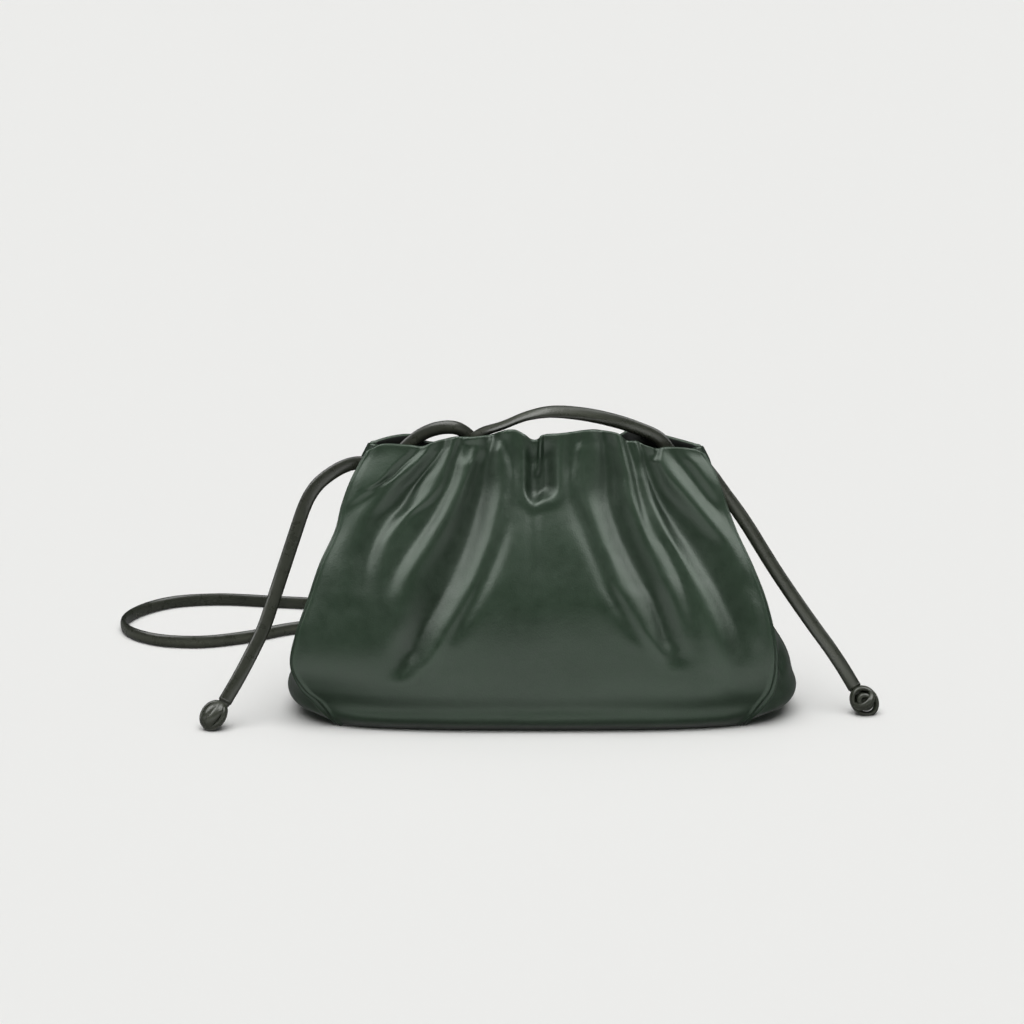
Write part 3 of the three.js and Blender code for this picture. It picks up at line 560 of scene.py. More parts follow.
# Height of the front lip and of the back lip at shares across: across, height
FRONT_LIP = np.array([
    (-1, 0.932),
    (-0.92, 0.956),
    (-0.76, 0.953),
    (-0.68, 0.949),
    (-0.59, 0.97),
    (-0.485, 0.982),
    (-0.365, 0.982),
    (-0.236, 0.999),
    (-0.149, 1.006),
    (-0.09, 0.989),
    (-0.035, 0.971),
    (0.02, 0.989),
    (0.119, 0.993),
    (0.26, 1.004),
    (0.355, 1.007),
    (0.473, 0.992),
    (0.53, 0.969),
    (0.6, 0.966),
    (0.68, 0.943),
    (0.78, 0.946),
    (0.946, 0.938),
    (1, 0.921),
], dtype=float).T

BACK_LIP = np.array([
    (-1, 0.932),
    (-0.86, 0.956),
    (-0.74, 0.96),
    (-0.66, 0.935),
    (-0.5, 0.915),
    (-0.3, 0.925),
    (0, 0.948),
    (0.25, 0.955),
    (0.45, 0.962),
    (0.56, 0.982),
    (0.68, 0.97),
    (0.85, 0.945),
    (1, 0.921),
], dtype=float).T

# Gathers of the back: top, bend, end, stop, width at the top and at the end, rise, fade
BACK_FAN = [
    (0, 0, 0, 0.55, 0.045, 0.07, -0.7, 0.5),
    (0.11, 0.14, 0.23, 0.38, 0.035, 0.06, 0.7, 0.45),
    (0.23, 0.28, 0.38, 0.42, 0.04, 0.06, -0.7, 0.45),
    (0.35, 0.43, 0.56, 0.3, 0.035, 0.055, 0.8, 0.4),
    (0.48, 0.58, 0.7, 0.45, 0.04, 0.06, -0.7, 0.45),
    (0.6, 0.73, 0.86, 0.42, 0.035, 0.055, 0.65, 0.45),
]

# Gathers of the front: powers of the profile to the left and to the right, then stations from the lip
# down: height and across in shares, then rise, and reach to the left and to the right, in millimetres.
# A rise below nothing is a hollow.
FRONT_FOLDS = [
    ((2, 2), (  # facet left
        (0.993, -0.752, 0.6, 11.4, 2.2), (0.934, -0.8, 1.8, 14.9, 2.2),
        (0.871, -0.848, 2.4, 14.9, 2.6), (0.823, -0.92, 2, 12.3, 3.5),
        (0.776, -0.993, 0.8, 9.6, 4.4), (0.704, -1, 0, 8.8, 4.4),
    )),
    ((2, 2), (  # crease left
        (0.986, -0.698, -0.28, 1.4, 1.4), (0.939, -0.738, -0.84, 1.4, 1.4),
        (0.891, -0.785, -1.05, 1.4, 1.4), (0.85, -0.86, -0.63, 1.7, 1.7),
        (0.833, -0.922, 0, 1.9, 1.9),
    )),
    ((2, 2), (  # ridge a
        (0.987, -0.635, 0.84, 2.8, 2.4), (0.937, -0.688, 1.4, 4.3, 3.3),
        (0.879, -0.752, 1.61, 5.2, 4.3), (0.814, -0.805, 1.54, 6.1, 4.7),
        (0.759, -0.857, 1.4, 6.6, 4.7), (0.697, -0.877, 1.12, 7.1, 4.7),
        (0.637, -0.867, 0.98, 8, 5.7), (0.57, -0.845, 1.54, 9.5, 7.6),
        (0.504, -0.823, 1.68, 10.4, 8.5), (0.437, -0.792, 0.7, 11.4, 9.5),
        (0.343, -0.755, 0, 12.3, 12.3),
    )),
    ((2, 2), (  # valley b
        (0.97, -0.552, -1.54, 4.3, 2.4), (0.916, -0.607, -2.38, 6.6, 3.8),
        (0.867, -0.665, -2.66, 7.6, 4.3), (0.807, -0.708, -2.66, 7.6, 4.3),
        (0.74, -0.76, -2.38, 7.1, 4.3), (0.679, -0.787, -1.96, 6.6, 4.3),
        (0.611, -0.79, -1.82, 7.1, 5.2), (0.534, -0.78, -1.68, 8, 7.1),
        (0.467, -0.767, -0.84, 9.5, 8.5), (0.391, -0.75, 0, 11.4, 10.4),
    )),
    ((2, 2), (  # ridge c
        (0.974, -0.483, 0.84, 2.4, 1.4), (0.896, -0.505, 1.26, 3.8, 2.4),
        (0.841, -0.525, 1.4, 5.7, 2.8), (0.797, -0.58, 1.54, 6.6, 3.3),
        (0.759, -0.665, 1.54, 6.6, 3.8), (0.696, -0.722, 1.4, 6.1, 4.3),
        (0.631, -0.72, 1.12, 5.7, 4.7), (0.566, -0.715, 0.84, 6.1, 5.2),
        (0.484, -0.712, 0.42, 7.1, 6.1), (0.399, -0.712, 0, 8, 7.1),
    )),
    ((2, 2), (  # valley d
        (0.954, -0.453, -1.12, 2.4, 1.9), (0.861, -0.463, -1.54, 3.8, 3.3),
        (0.776, -0.508, -1.68, 4.7, 3.8), (0.699, -0.568, -1.54, 5.2, 3.8),
        (0.629, -0.61, -1.12, 5.2, 4.3), (0.556, -0.645, -0.63, 4.7, 4.7),
        (0.463, -0.647, 0, 4.7, 4.7),
    )),
    ((1.6, 2), (  # ridge e
        (0.941, -0.37, 1.65, 4.3, 2.8), (0.86, -0.392, 2.25, 5.7, 3.3),
        (0.771, -0.438, 2.4, 6.6, 4.3), (0.694, -0.48, 2.25, 7.1, 5.2),
        (0.616, -0.532, 1.95, 7.1, 6.1), (0.546, -0.578, 1.65, 6.6, 6.6),
        (0.477, -0.59, 1.35, 6.1, 6.1), (0.389, -0.58, 0.75, 6.1, 5.7),
        (0.299, -0.573, 0, 5.7, 5.7),
    )),
    ((2, 2), (  # valley f
        (0.961, -0.282, -2.24, 3.8, 3.3), (0.914, -0.3, -2.94, 4.7, 4.3),
        (0.829, -0.31, -3.5, 6.6, 6.1), (0.731, -0.338, -3.78, 9.5, 7.1),
        (0.64, -0.365, -3.78, 11.4, 7.6), (0.55, -0.402, -3.64, 11.4, 7.6),
        (0.464, -0.448, -3.5, 9.5, 7.1), (0.377, -0.488, -3.64, 7.6, 6.1),
        (0.299, -0.52, -3.64, 6.6, 6.1), (0.241, -0.545, -2.24, 6.1, 6.1),
        (0.176, -0.575, 0, 6.1, 6.1),
    )),
    ((2, 2), (  # spot g
        (0.956, -0.172, -0.42, 3.3, 2.8), (0.917, -0.157, -1.12, 3.8, 2.8),
        (0.87, -0.147, -1.54, 3.8, 2.8), (0.824, -0.147, -1.54, 3.3, 3.3),
        (0.774, -0.16, -1.26, 2.8, 3.8), (0.719, -0.182, -1.12, 2.8, 4.3),
        (0.634, -0.2, -1.05, 3.3, 4.3), (0.543, -0.242, -0.98, 3.3, 4.3),
        (0.453, -0.297, -0.84, 3.8, 4.3), (0.369, -0.348, -0.56, 3.8, 4.3),
        (0.286, -0.395, 0, 3.8, 4.3),
    )),
    ((1.35, 2), (  # ridge h
        (0.977, -0.247, 0.84, 5.2, 2.4), (0.937, -0.218, 1.26, 6.1, 2.8),
        (0.886, -0.185, 1.26, 6.6, 3.3), (0.831, -0.165, 1.26, 7.1, 3.8),
        (0.753, -0.188, 1.26, 8, 3.8), (0.637, -0.24, 1.33, 9, 3.8),
        (0.551, -0.28, 1.33, 9, 3.8), (0.47, -0.325, 1.33, 8, 3.8),
        (0.389, -0.375, 1.54, 7.1, 4.3), (0.31, -0.417, 1.82, 6.1, 4.3),
        (0.256, -0.45, 1.68, 5.7, 4.3), (0.213, -0.483, 0.84, 5.7, 4.3),
        (0.169, -0.512, 0, 5.7, 4.3),
    )),
    ((2, 2), (  # ridge j
        (0.764, -0.017, 0.21, 5.7, 6.6), (0.681, -0.088, 0.63, 5.7, 8.5),
        (0.546, -0.17, 0.7, 5.7, 9.5), (0.433, -0.24, 0.63, 5.2, 9.5),
        (0.35, -0.31, 0.49, 4.7, 8.5), (0.281, -0.365, 0.21, 4.3, 7.6),
        (0.229, -0.415, 0, 4.3, 6.6),
    )),
    ((2, 2), (  # sliver k
        (1, 0.002, 2, 1.1, 1.1), (0.947, -0.007, 1.8, 1.1, 1.1),
        (0.909, -0.017, 1.2, 1.1, 1.1), (0.876, -0.022, 0, 1.1, 1.1),
    )),
    ((2, 2), (  # ridge l
        (0.753, 0.065, 0.21, 6.6, 5.7), (0.679, 0.135, 0.63, 8.5, 5.7),
        (0.59, 0.198, 0.7, 9.5, 5.7), (0.496, 0.248, 0.7, 9.5, 5.2),
        (0.41, 0.302, 0.56, 9, 4.7), (0.33, 0.373, 0.28, 8, 4.3),
        (0.266, 0.45, 0, 6.6, 4.3),
    )),
    ((2, 1.35), (  # ridge o
        (0.974, 0.255, 0.84, 2.4, 5.2), (0.937, 0.225, 1.26, 2.8, 6.1),
        (0.887, 0.203, 1.26, 3.3, 6.6), (0.83, 0.19, 1.26, 3.8, 7.1),
        (0.739, 0.248, 1.26, 3.8, 8), (0.651, 0.285, 1.33, 3.8, 8.5),
        (0.586, 0.312, 1.33, 3.8, 8.5), (0.521, 0.338, 1.33, 3.8, 8.5),
        (0.459, 0.38, 1.33, 3.8, 8), (0.394, 0.425, 1.33, 4.3, 7.1),
        (0.34, 0.468, 1.54, 4.3, 6.1), (0.299, 0.502, 1.26, 4.3, 5.7),
        (0.259, 0.53, 0.56, 4.3, 5.7), (0.214, 0.545, 0, 4.3, 5.7),
    )),
    ((2, 2), (  # valley p
        (0.953, 0.377, -2.24, 3.3, 3.8), (0.86, 0.373, -2.94, 4.7, 5.7),
        (0.774, 0.365, -3.22, 5.7, 7.1), (0.706, 0.383, -3.36, 6.1, 8.5),
        (0.64, 0.407, -3.36, 6.6, 9), (0.583, 0.435, -3.22, 6.6, 9),
        (0.524, 0.468, -3.08, 6.6, 8), (0.469, 0.505, -2.94, 6.6, 7.1),
        (0.406, 0.532, -3.08, 6.1, 6.6), (0.34, 0.555, -2.94, 6.1, 6.1),
        (0.286, 0.57, -1.68, 6.1, 6.1), (0.221, 0.57, 0, 6.6, 6.6),
    )),
    ((2, 1.5), (  # ridge q
        (0.964, 0.463, 1.5, 2.8, 2.8), (0.87, 0.468, 2.1, 3.8, 4.3),
        (0.801, 0.468, 2.4, 4.3, 5.2), (0.739, 0.488, 2.4, 4.3, 6.1),
        (0.664, 0.518, 2.4, 4.3, 6.6), (0.599, 0.542, 2.25, 4.3, 6.6),
        (0.529, 0.568, 2.1, 4.3, 6.6), (0.459, 0.59, 1.8, 4.3, 6.1),
        (0.391, 0.605, 1.5, 4.3, 5.7), (0.329, 0.605, 1.05, 4.7, 5.2),
        (0.257, 0.59, 0, 4.7, 4.7),
    )),
    ((2, 2), (  # valley r
        (0.974, 0.532, -0.56, 2.4, 2.4), (0.89, 0.532, -0.7, 2.8, 2.8),
        (0.801, 0.552, -0.84, 3.3, 3.8), (0.709, 0.578, -0.84, 3.8, 4.3),
        (0.639, 0.605, -0.91, 3.8, 4.3), (0.557, 0.635, -0.98, 3.8, 4.7),
        (0.464, 0.653, -0.84, 4.3, 5.2), (0.347, 0.663, -0.42, 4.7, 5.2),
        (0.246, 0.663, 0, 4.7, 5.2),
    )),
    ((2, 2), (  # ridge s
        (0.947, 0.57, 0.35, 2.4, 3.3), (0.874, 0.568, 0.84, 2.8, 4.7),
        (0.794, 0.588, 1.26, 3.3, 6.6), (0.713, 0.62, 1.61, 3.8, 7.6),
        (0.656, 0.65, 1.82, 3.3, 8), (0.596, 0.677, 1.82, 3.8, 8),
        (0.521, 0.7, 1.82, 4.7, 8), (0.431, 0.725, 1.96, 5.7, 7.1),
        (0.337, 0.752, 2.03, 5.7, 6.6), (0.249, 0.78, 1.82, 6.1, 6.1),
        (0.17, 0.82, 1.12, 6.1, 6.6), (0.096, 0.883, 0, 6.1, 6.6),
    )),
    ((2, 2), (  # valley t
        (0.981, 0.607, -1.68, 1.9, 3.3), (0.903, 0.605, -2.52, 3.3, 5.7),
        (0.82, 0.637, -2.94, 4.7, 8.5), (0.754, 0.688, -3.08, 5.7, 9.9),
        (0.686, 0.728, -3.08, 6.1, 10.4), (0.614, 0.755, -2.94, 6.1, 9.5),
        (0.541, 0.785, -2.52, 6.1, 8), (0.469, 0.812, -2.1, 6.1, 6.6),
        (0.394, 0.838, -1.68, 6.1, 6.1), (0.323, 0.853, -1.12, 6.1, 6.1),
        (0.23, 0.863, 0, 6.1, 6.1),
    )),
    ((2, 2), (  # ridge u
        (0.993, 0.688, 1.68, 2.8, 4.3), (0.901, 0.728, 2.52, 3.8, 5.7),
        (0.816, 0.802, 2.66, 4.3, 6.6), (0.744, 0.867, 2.52, 4.3, 6.6),
        (0.674, 0.92, 2.1, 4.7, 6.1), (0.601, 0.935, 1.4, 5.2, 5.7),
        (0.514, 0.938, 0, 5.7, 5.7),
    )),
    ((2, 2), (  # ridge x
        (0.531, 0.933, 0, 2.8, 3.3), (0.454, 0.933, 0.77, 3.3, 3.3),
        (0.367, 0.925, 0.77, 3.3, 3.3), (0.273, 0.905, 0, 2.8, 3.3),
    )),
    ((2, 2), (  # pocket lip
        (1, -0.402, -1, 3.1, 3.1), (0.976, -0.392, -2, 3.5, 3.5),
        (0.946, -0.387, -1.5, 3.5, 3.5), (0.909, -0.382, 0, 3.5, 3.5),
    )),
    ((2, 2), (  # rim fold
        (1, -0.275, -1.6, 2.6, 3.9), (0.979, -0.26, -1, 2.6, 3.9),
        (0.94, -0.24, 0, 2.6, 3.9),
    )),
    ((2, 2), (  # rim bump
        (1, -0.195, 1.4, 2.6, 2.6), (0.974, -0.188, 0.8, 2.6, 2.6),
        (0.934, -0.18, 0, 2.6, 2.6),
    )),
    ((2, 2), (  # rim pit
        (1, 0.705, -2.4, 1.8, 1.8), (0.981, 0.685, -2, 1.8, 1.8),
        (0.949, 0.657, 0, 1.8, 1.8),
    )),
    ((2, 2), (  # belly left
        (0.444, -0.802, 0, 13.1, 13.1), (0.269, -0.777, 0.8, 19.7, 19.7),
        (0.111, -0.865, 0, 19.7, 19.7),
    )),
    ((2, 2), (  # belly middle
        (0.471, 0.085, 0, 21.9, 19.7), (0.287, 0.103, -1.4, 26.3, 21.9),
        (0.124, 0.062, -0.6, 26.3, 21.9), (0.034, 0.07, 0, 26.3, 21.9),
    )),
    ((2, 2), (  # belly right
        (0.236, 0.588, 0, 26.3, 26.3), (0.143, 0.69, 0.8, 26.3, 26.3),
        (0.044, 0.755, 0, 26.3, 26.3),
    )),
    ((2, 2), (  # spot n
        (0.961, 0.213, -0.35, 3.3, 3.3), (0.92, 0.188, -0.98, 2.8, 3.8),
        (0.877, 0.173, -1.26, 2.8, 3.8), (0.824, 0.173, -1.26, 3.3, 3.3),
        (0.747, 0.208, -1.12, 4.3, 2.8), (0.657, 0.248, -1.05, 4.3, 2.8),
        (0.583, 0.278, -1.05, 4.3, 3.3), (0.51, 0.302, -0.98, 4.3, 3.3),
        (0.439, 0.347, -0.84, 4.3, 3.8), (0.367, 0.397, -0.56, 4.3, 3.8),
        (0.284, 0.46, 0, 4.3, 3.8),
    )),
    ((2, 2), (  # plateau
        (0.797, 0.002, 0.42, 14.2, 15.1), (0.733, 0.002, 0.84, 16.1, 18),
        (0.637, 0.002, 1.12, 20.8, 23.7), (0.474, 0.01, 1.12, 31.2, 33.1),
        (0.34, 0.022, 0.7, 41.6, 43.5), (0.184, 0.032, 0, 47.3, 47.3),
    )),
    ((2, 2), (  # valley v
        (0.981, 0.775, -0.28, 2.8, 3.3), (0.909, 0.83, -0.63, 3.3, 4.3),
        (0.83, 0.893, -0.63, 3.3, 4.3), (0.757, 0.938, -0.28, 3.8, 3.8),
        (0.696, 0.953, 0, 3.8, 3.8),
    )),
    ((2, 2), (  # facet right
        (0.997, 0.865, 0.6, 2.6, 6.1), (0.953, 0.89, 2, 3.5, 8.8),
        (0.903, 0.923, 2.6, 3.9, 9.6), (0.849, 0.95, 2, 3.9, 8.8),
        (0.777, 0.98, 0, 3.9, 7.9),
    )),
]

# Grids of the walls
ROWS = 168
ROW_CROWDING = 1.12
FRONT_COLUMNS = 380
BACK_COLUMNS = 300
GUSSET_COLUMNS = 110
LIP_STEPS = 6
INNER_EVERY = 4
HEIGHTS = 1 - (1 - np.linspace(0, 1, ROWS + 1)) ** ROW_CROWDING

# The dimple under the middle of the front's lip: its place in shares of the front, its sizes in
# millimetres, and its flat middle, its edge and the place of its rim in shares of its radius
DIMPLE_ACROSS = 0.003
DIMPLE_FOOT = 0.843
DIMPLE_RADIUS = 7.0
DIMPLE_DEPTH = 3.8
DIMPLE_SQUARENESS = 2.6
DIMPLE_FLAT = 0.15
DIMPLE_EDGE = 1.15
DIMPLE_RIM_AT = 1.25
DIMPLE_RIM = 2.6
DIMPLE_RAISED = 0.9
DIMPLE_HELD = 0.45
WALL_RISE = 138.0

# How the gathers end at the side seams, and the roll at the foot of the front
FRONT_HOLD = 14
BACK_HOLD = 6
GUSSET_HOLD = 8
FOOT_ROLL = 2.6
FOOT_ROLL_AT = 0.05
FOOT_ROLL_REACH = 0.03

# The back's gathers: the size of their rises, how they differ, and how far the lip holds them down
BACK_RISE = 5.5
BACK_UNEVENNESS = 0.2
BACK_RHYTHM = 2.4
BACK_HELD = 0.4

# Forms of the gussets: rise in millimetres, then place and reach in shares, and the corner's rise
TUCK_CREASE = (0.9, 0.55, 0.16)
TUCK_SAG = (-0.7, 0.1, 0.2)
LOW_BULGE = (3.6, 0.085, 0.055)
RIGHT_CORNER = 3.0

# Seams in millimetres, with thicker welts below, then the share of the welt that shows inside and
# how often the inside is smoothed
SEAM_ROLL = 5.0
SEAM_DIP = 0.85
SEAM_REACH = 0.9
WELT = 0.3
LOW_WELT = 0.6
WELT_AT = 1.5
WELT_REACH = 0.9
INNER_WELT = 0.3
INNER_CALM = 6

# Tone of the leather all over, then painted shading: lighter ridges and darker hollows of the gathers, a
# painted highlight on the welts beside the seams and on the lip; then the tone inside
BODY_RUB = 0.1
RIDGE_PAINTED_SHADING = 0.09
PAINTED_SHADING_RISE = (-5, 2)
SEAM_PAINTED_HIGHLIGHT = 0.2
SEAM_HIGHLIGHT_AT = 1.6
SEAM_HIGHLIGHT_REACH = 1.2
LIP_PAINTED_HIGHLIGHT = 0.3
INNER_RUB = 0.1

# The base's sides: how far in from the walls' line, and the height
BASE_SIDE_POINTS = 40
BASE_SIDES = (
    (3.2, 0.0),
    (2.6, 0.05),
    (2.25, 0.3),
    (2.15, 0.9),
    (2.15, 1.7),
    (2.4, 2.2),
    (3.0, BASE_THICKNESS),
)


def section(column, height):
    return read_line(SECTION_LINES["height"], SECTION_LINES[column], height)


def back_inset(height):
    return WIDTH / 2 * read_line(BACK_INSET[0], BACK_INSET[1], height)


def half_width(side, across, height):
    front = WIDTH / 2 * np.where(across < 0, section("left", height), section("right", height))
    return front if side < 0 else front - back_inset(height)


def wall_top(lip, across):
    return HEIGHT * read_line(lip[0], lip[1], across)


def panel_points(side, across, height):
    """The smooth front, side -1, or back, side 1."""
    seam = section("seam", height)
    swell = (section("middle", height) - seam) * (1 - np.abs(across) ** PANEL_FULLNESS)
    lip = FRONT_LIP if side < 0 else BACK_LIP
    z = FOOT + (wall_top(lip, across) - FOOT) * height
    x = across * half_width(side, across, height)
    return np.stack([x, side * DEPTH / 2 * (seam + swell), z], axis=-1)


def gusset_points(hand, across, height):
    """A smooth gusset, hand -1 for the left, across from the front seam at -1 to the back seam at 1."""
    seam_at = WIDTH / 2 * section("left" if hand < 0 else "right", height)
    out = WIDTH / 2 * section("out_left" if hand < 0 else "out_right", height)
    bulge = 1 - np.abs(across) ** CORNER_FULLNESS
    tuck = (1 - across**2) ** TUCK_SHARPNESS
    front = FOOT + (wall_top(FRONT_LIP, np.array(float(hand))) - FOOT) * height
    back = FOOT + (wall_top(BACK_LIP, np.array(float(hand))) - FOOT) * height
    z = front + (back - front) * (across + 1) / 2
    inset = back_inset(height) * (across + 1) / 2
    x = hand * (seam_at - inset + out * np.where(out > 0, bulge, tuck))
    return np.stack([x, DEPTH / 2 * section("seam", height) * across, z], axis=-1)


# Each smooth wall, and the way that it faces
FRONT = partial(panel_points, -1)
BACK = partial(panel_points, 1)
GUSSET_LEFT = partial(gusset_points, -1)
GUSSET_RIGHT = partial(gusset_points, 1)
OUTWARD = {FRONT: (0, -1, 0.2), BACK: (0, 1, 0.2), GUSSET_LEFT: (-1, 0, 0.2), GUSSET_RIGHT: (1, 0, 0.2)}


def grid_normals(points, outward):
    """Normals of a grid of rows up and columns across, on the side of outward."""
    up = np.gradient(points, axis=0)
    over = np.gradient(points, axis=1)
    normals = unit(np.cross(over, up))
    return normals * np.sign((normals * outward).sum(-1, keepdims=True) + 1e-12)


def edge_normals(wall, end, step=0.01):
    """Normals of one wall along its seam at across = end."""
    across, height = np.meshgrid(np.array([end, end * (1 - step)]), HEIGHTS)
    return grid_normals(wall(across, height), OUTWARD[wall])[:, 0]


def seam_normals(panel, gusset):
    """Normals along the seam between a panel and a gusset, half way between theirs."""
    panel_end = -1 if gusset is GUSSET_LEFT else 1
    gusset_end = -1 if panel is FRONT else 1
    return unit(edge_normals(panel, panel_end) + edge_normals(gusset, gusset_end))


def fold_relief(across, height):
    """How far the front's gathers stand out, in millimetres."""
    relief = np.zeros_like(across)
    wide = half_width(-1, across, height)
    for powers, stations in FRONT_FOLDS:
        rows = np.array(stations, dtype=float)[::-1].T
        at = np.clip(height, rows[0][0], rows[0][-1])
        middle = read_line(rows[0], rows[1], at)
        rise = read_line(rows[0], rows[2], at, level=True)
        left = read_line(rows[0], rows[3], at, level=True)
        right = read_line(rows[0], rows[4], at, level=True)
        offset = (across - middle) * wide
        reach = np.where(offset < 0, left, right)
        power = np.where(offset < 0, powers[0], powers[1])
        relief += np.where(height < rows[0][0], 0.0, rise) * np.exp(-(np.abs(offset / reach) ** power))
    foot = FOOT_ROLL * bump(height, FOOT_ROLL_AT, FOOT_ROLL_REACH)
    return (relief + dimple(across, height) + foot) * (1 - np.abs(across) ** FRONT_HOLD)


def dimple(across, height):
    """The pocket pressed in under the middle of the lip, with a raised rim round its lower end."""
    over = (across - DIMPLE_ACROSS) * half_width(-1, across, height)
    below = np.minimum(0.0, (height - DIMPLE_FOOT) * WALL_RISE)
    away = np.abs(over) ** DIMPLE_SQUARENESS + np.abs(below) ** DIMPLE_SQUARENESS
    away = away ** (1 / DIMPLE_SQUARENESS)
    pressed = 1 - smooth_step(DIMPLE_FLAT * DIMPLE_RADIUS, DIMPLE_EDGE * DIMPLE_RADIUS, away)
    rim = bump(away, DIMPLE_RIM_AT * DIMPLE_RADIUS, DIMPLE_RIM)
    held = 1 - DIMPLE_HELD * smooth_step(0.93, 1.0, height)
    rim_end = 1 - smooth_step(DIMPLE_FOOT + 0.08, DIMPLE_FOOT + 0.3, height)
    return DIMPLE_RAISED * rim * rim_end - DIMPLE_DEPTH * pressed * held


def back_relief(across, height):
    """How far the back's gathers stand out, in millimetres, the same to the left and to the right."""
    relief = np.zeros_like(across)
    folds = BACK_FAN + [(-top, -bend, -end, *rest) for top, bend, end, *rest in BACK_FAN if top]
    for number, (top, bend, end, stop, wide_top, wide_end, rise, fade) in enumerate(folds):
        share = (height - stop) / (1 - stop)
        middle = end + (top - end) * share + 4 * (bend - (top + end) / 2) * share * (1 - share)
        wide = (wide_end + (wide_top - wide_end) * share) / section("left", height)
        shape = bump(across, middle, wide) * smooth_step(0, fade, share)
        uneven = 1 + BACK_UNEVENNESS * math.sin(BACK_RHYTHM * number)
        relief += BACK_RISE * rise * uneven * np.where(share > 0, shape, 0.0)
    held = 1 - BACK_HELD * smooth_step(0.84, 1.0, height)
    return relief * held * (1 - np.abs(across) ** BACK_HOLD)


def gusset_relief(across, height, corner=0.0):
    """Soft creases of a gusset beside its tuck, its low bulge, and how much fuller its corner is."""
    crease = TUCK_CREASE[0] * bump(np.abs(across), *TUCK_CREASE[1:]) * smooth_step(0.35, 0.9, height)
    sag = TUCK_SAG[0] * bump(across, *TUCK_SAG[1:]) * smooth_step(0.25, 0.5, height)
    sag = sag * (1 - smooth_step(0.7, 0.95, height))
    full = corner * bump(height, 0.22, 0.13) * bump(across, -0.3, 0.55)
    pocket = -corner * bump(height, 0.24, 0.045) * bump(across, -0.82, 0.12)
    low = LOW_BULGE[0] * bump(height, *LOW_BULGE[1:]) * smooth_step(0.0, 0.06, height)
    return (crease + sag + full + pocket + low) * (1 - np.abs(across) ** GUSSET_HOLD)


def blurred(field, times):
    for _ in range(times):
        padded = np.pad(field, 1, mode="edge")
        beside = padded[:-2, 1:-1], padded[2:, 1:-1], padded[1:-1, :-2], padded[1:-1, 2:]
        field = sum(beside, 2 * padded[1:-1, 1:-1]) / 6
    return field


def wall_shell(name, wall, seams, relief_of, columns, mirror=False):
    """One wall: outer face with its gathers, rolled seams and rounded lip, and its inner face."""
    across, height = np.meshgrid(np.linspace(-1, 1, columns + 1), HEIGHTS)
    base = wall(across, height)
    normals = grid_normals(base, OUTWARD[wall])
    spans = np.linalg.norm(np.diff(base, axis=1), axis=-1)
    run = np.concatenate([np.zeros((ROWS + 1, 1)), np.cumsum(spans, axis=1)], axis=1)
    from_seam = np.minimum(run, run[:, -1:] - run)
    near = 1 - smooth_step(0.0, SEAM_ROLL, from_seam)
    first_half = (np.arange(columns + 1) < columns / 2)[None, :, None]
    seam = np.where(first_half, seams[0][:, None], seams[1][:, None])
    normals = unit(normals * (1 - near[..., None]) + seam * near[..., None])
    relief = relief_of(across, height)
    welt = WELT + LOW_WELT * (1 - smooth_step(0.14, 0.24, height))
    roll = welt * bump(from_seam, WELT_AT, WELT_REACH) - SEAM_DIP * bump(from_seam, 0.0, SEAM_REACH)
    outer = base + normals * (relief + roll)[..., None]
    calm = np.minimum(blurred(relief, INNER_CALM), relief)
    inner = base + normals * (calm + roll * INNER_WELT - WALL)[..., None]
    # Painted shading: lighter on the ridges of the gathers and darker in their hollows, with a painted
    # highlight on the welt beside each seam.
    rub_and_painted_shading = BODY_RUB + RIDGE_PAINTED_SHADING * np.clip(relief, *PAINTED_SHADING_RISE)
    rub_and_painted_shading = rub_and_painted_shading + SEAM_PAINTED_HIGHLIGHT * bump(from_seam, SEAM_HIGHLIGHT_AT, SEAM_HIGHLIGHT_REACH)
    return close_shell(name, outer, inner, rub_and_painted_shading, mirror)


def close_shell(name, outer, inner, rub_and_painted_shading, mirror):
    """A wall's mesh: its outer and inner faces, joined by a round lip, the foot and both ends."""
    rows, columns = outer.shape[0] - 1, outer.shape[1] - 1
    kept = np.arange(rows, -1, -INNER_EVERY)
    middle, half = (outer[-1] + inner[-1]) / 2, (outer[-1] - inner[-1]) / 2
    rise = unit(outer[-1] - outer[-3]) * np.linalg.norm(half, axis=-1, keepdims=True)
    turns = [math.pi * step / LIP_STEPS for step in range(1, LIP_STEPS)]
    lip = np.array([middle + half * math.cos(turn) + rise * math.sin(turn) for turn in turns])
    grid = np.concatenate([outer, lip, inner[kept]])
    # A painted highlight all along the lip.
    lip_painted_highlight = np.full((len(lip), columns + 1), LIP_PAINTED_HIGHLIGHT)
    inner_rub = np.full((len(kept), columns + 1), INNER_RUB)
    rub_and_painted_shading = np.concatenate([rub_and_painted_shading, lip_painted_highlight, inner_rub])
    index = np.arange(len(grid) * (columns + 1)).reshape(len(grid), columns + 1)
    quads = np.stack([index[:-1, :-1], index[:-1, 1:], index[1:, 1:], index[1:, :-1]], axis=-1)
    quads = quads.reshape(-1, 4)
    foot = np.stack([index[-1, :-1], index[-1, 1:], index[0, 1:], index[0, :-1]], axis=-1)
    ends = []
    first_inner = rows + 1 + len(lip)
    for column, flip in ((0, False), (columns, True)):
        loops = [[index[rows, column], *index[rows + 1 : first_inner, column], index[first_inner, column]]]
        for step in range(len(kept) - 1):
            outer_run = index[kept[step + 1] : kept[step] + 1, column].tolist()
            inner_at = first_inner + step
            loops.append(outer_run + [index[inner_at, column], index[inner_at + 1, column]])
        ends.extend(loop if flip else loop[::-1] for loop in loops)
    faces = quads.tolist() + foot.tolist() + [[int(corner) for corner in face] for face in ends]
    marks = np.zeros(len(faces), dtype=np.int32)
    marks[(rows + len(lip)) * columns : len(quads)] = 1
    if mirror:
        faces = [face[::-1] for face in faces]
    return mesh_piece(name, grid.reshape(-1, 3), faces, [BODY, LINING], rub_and_painted_shading.reshape(-1), inner=marks)


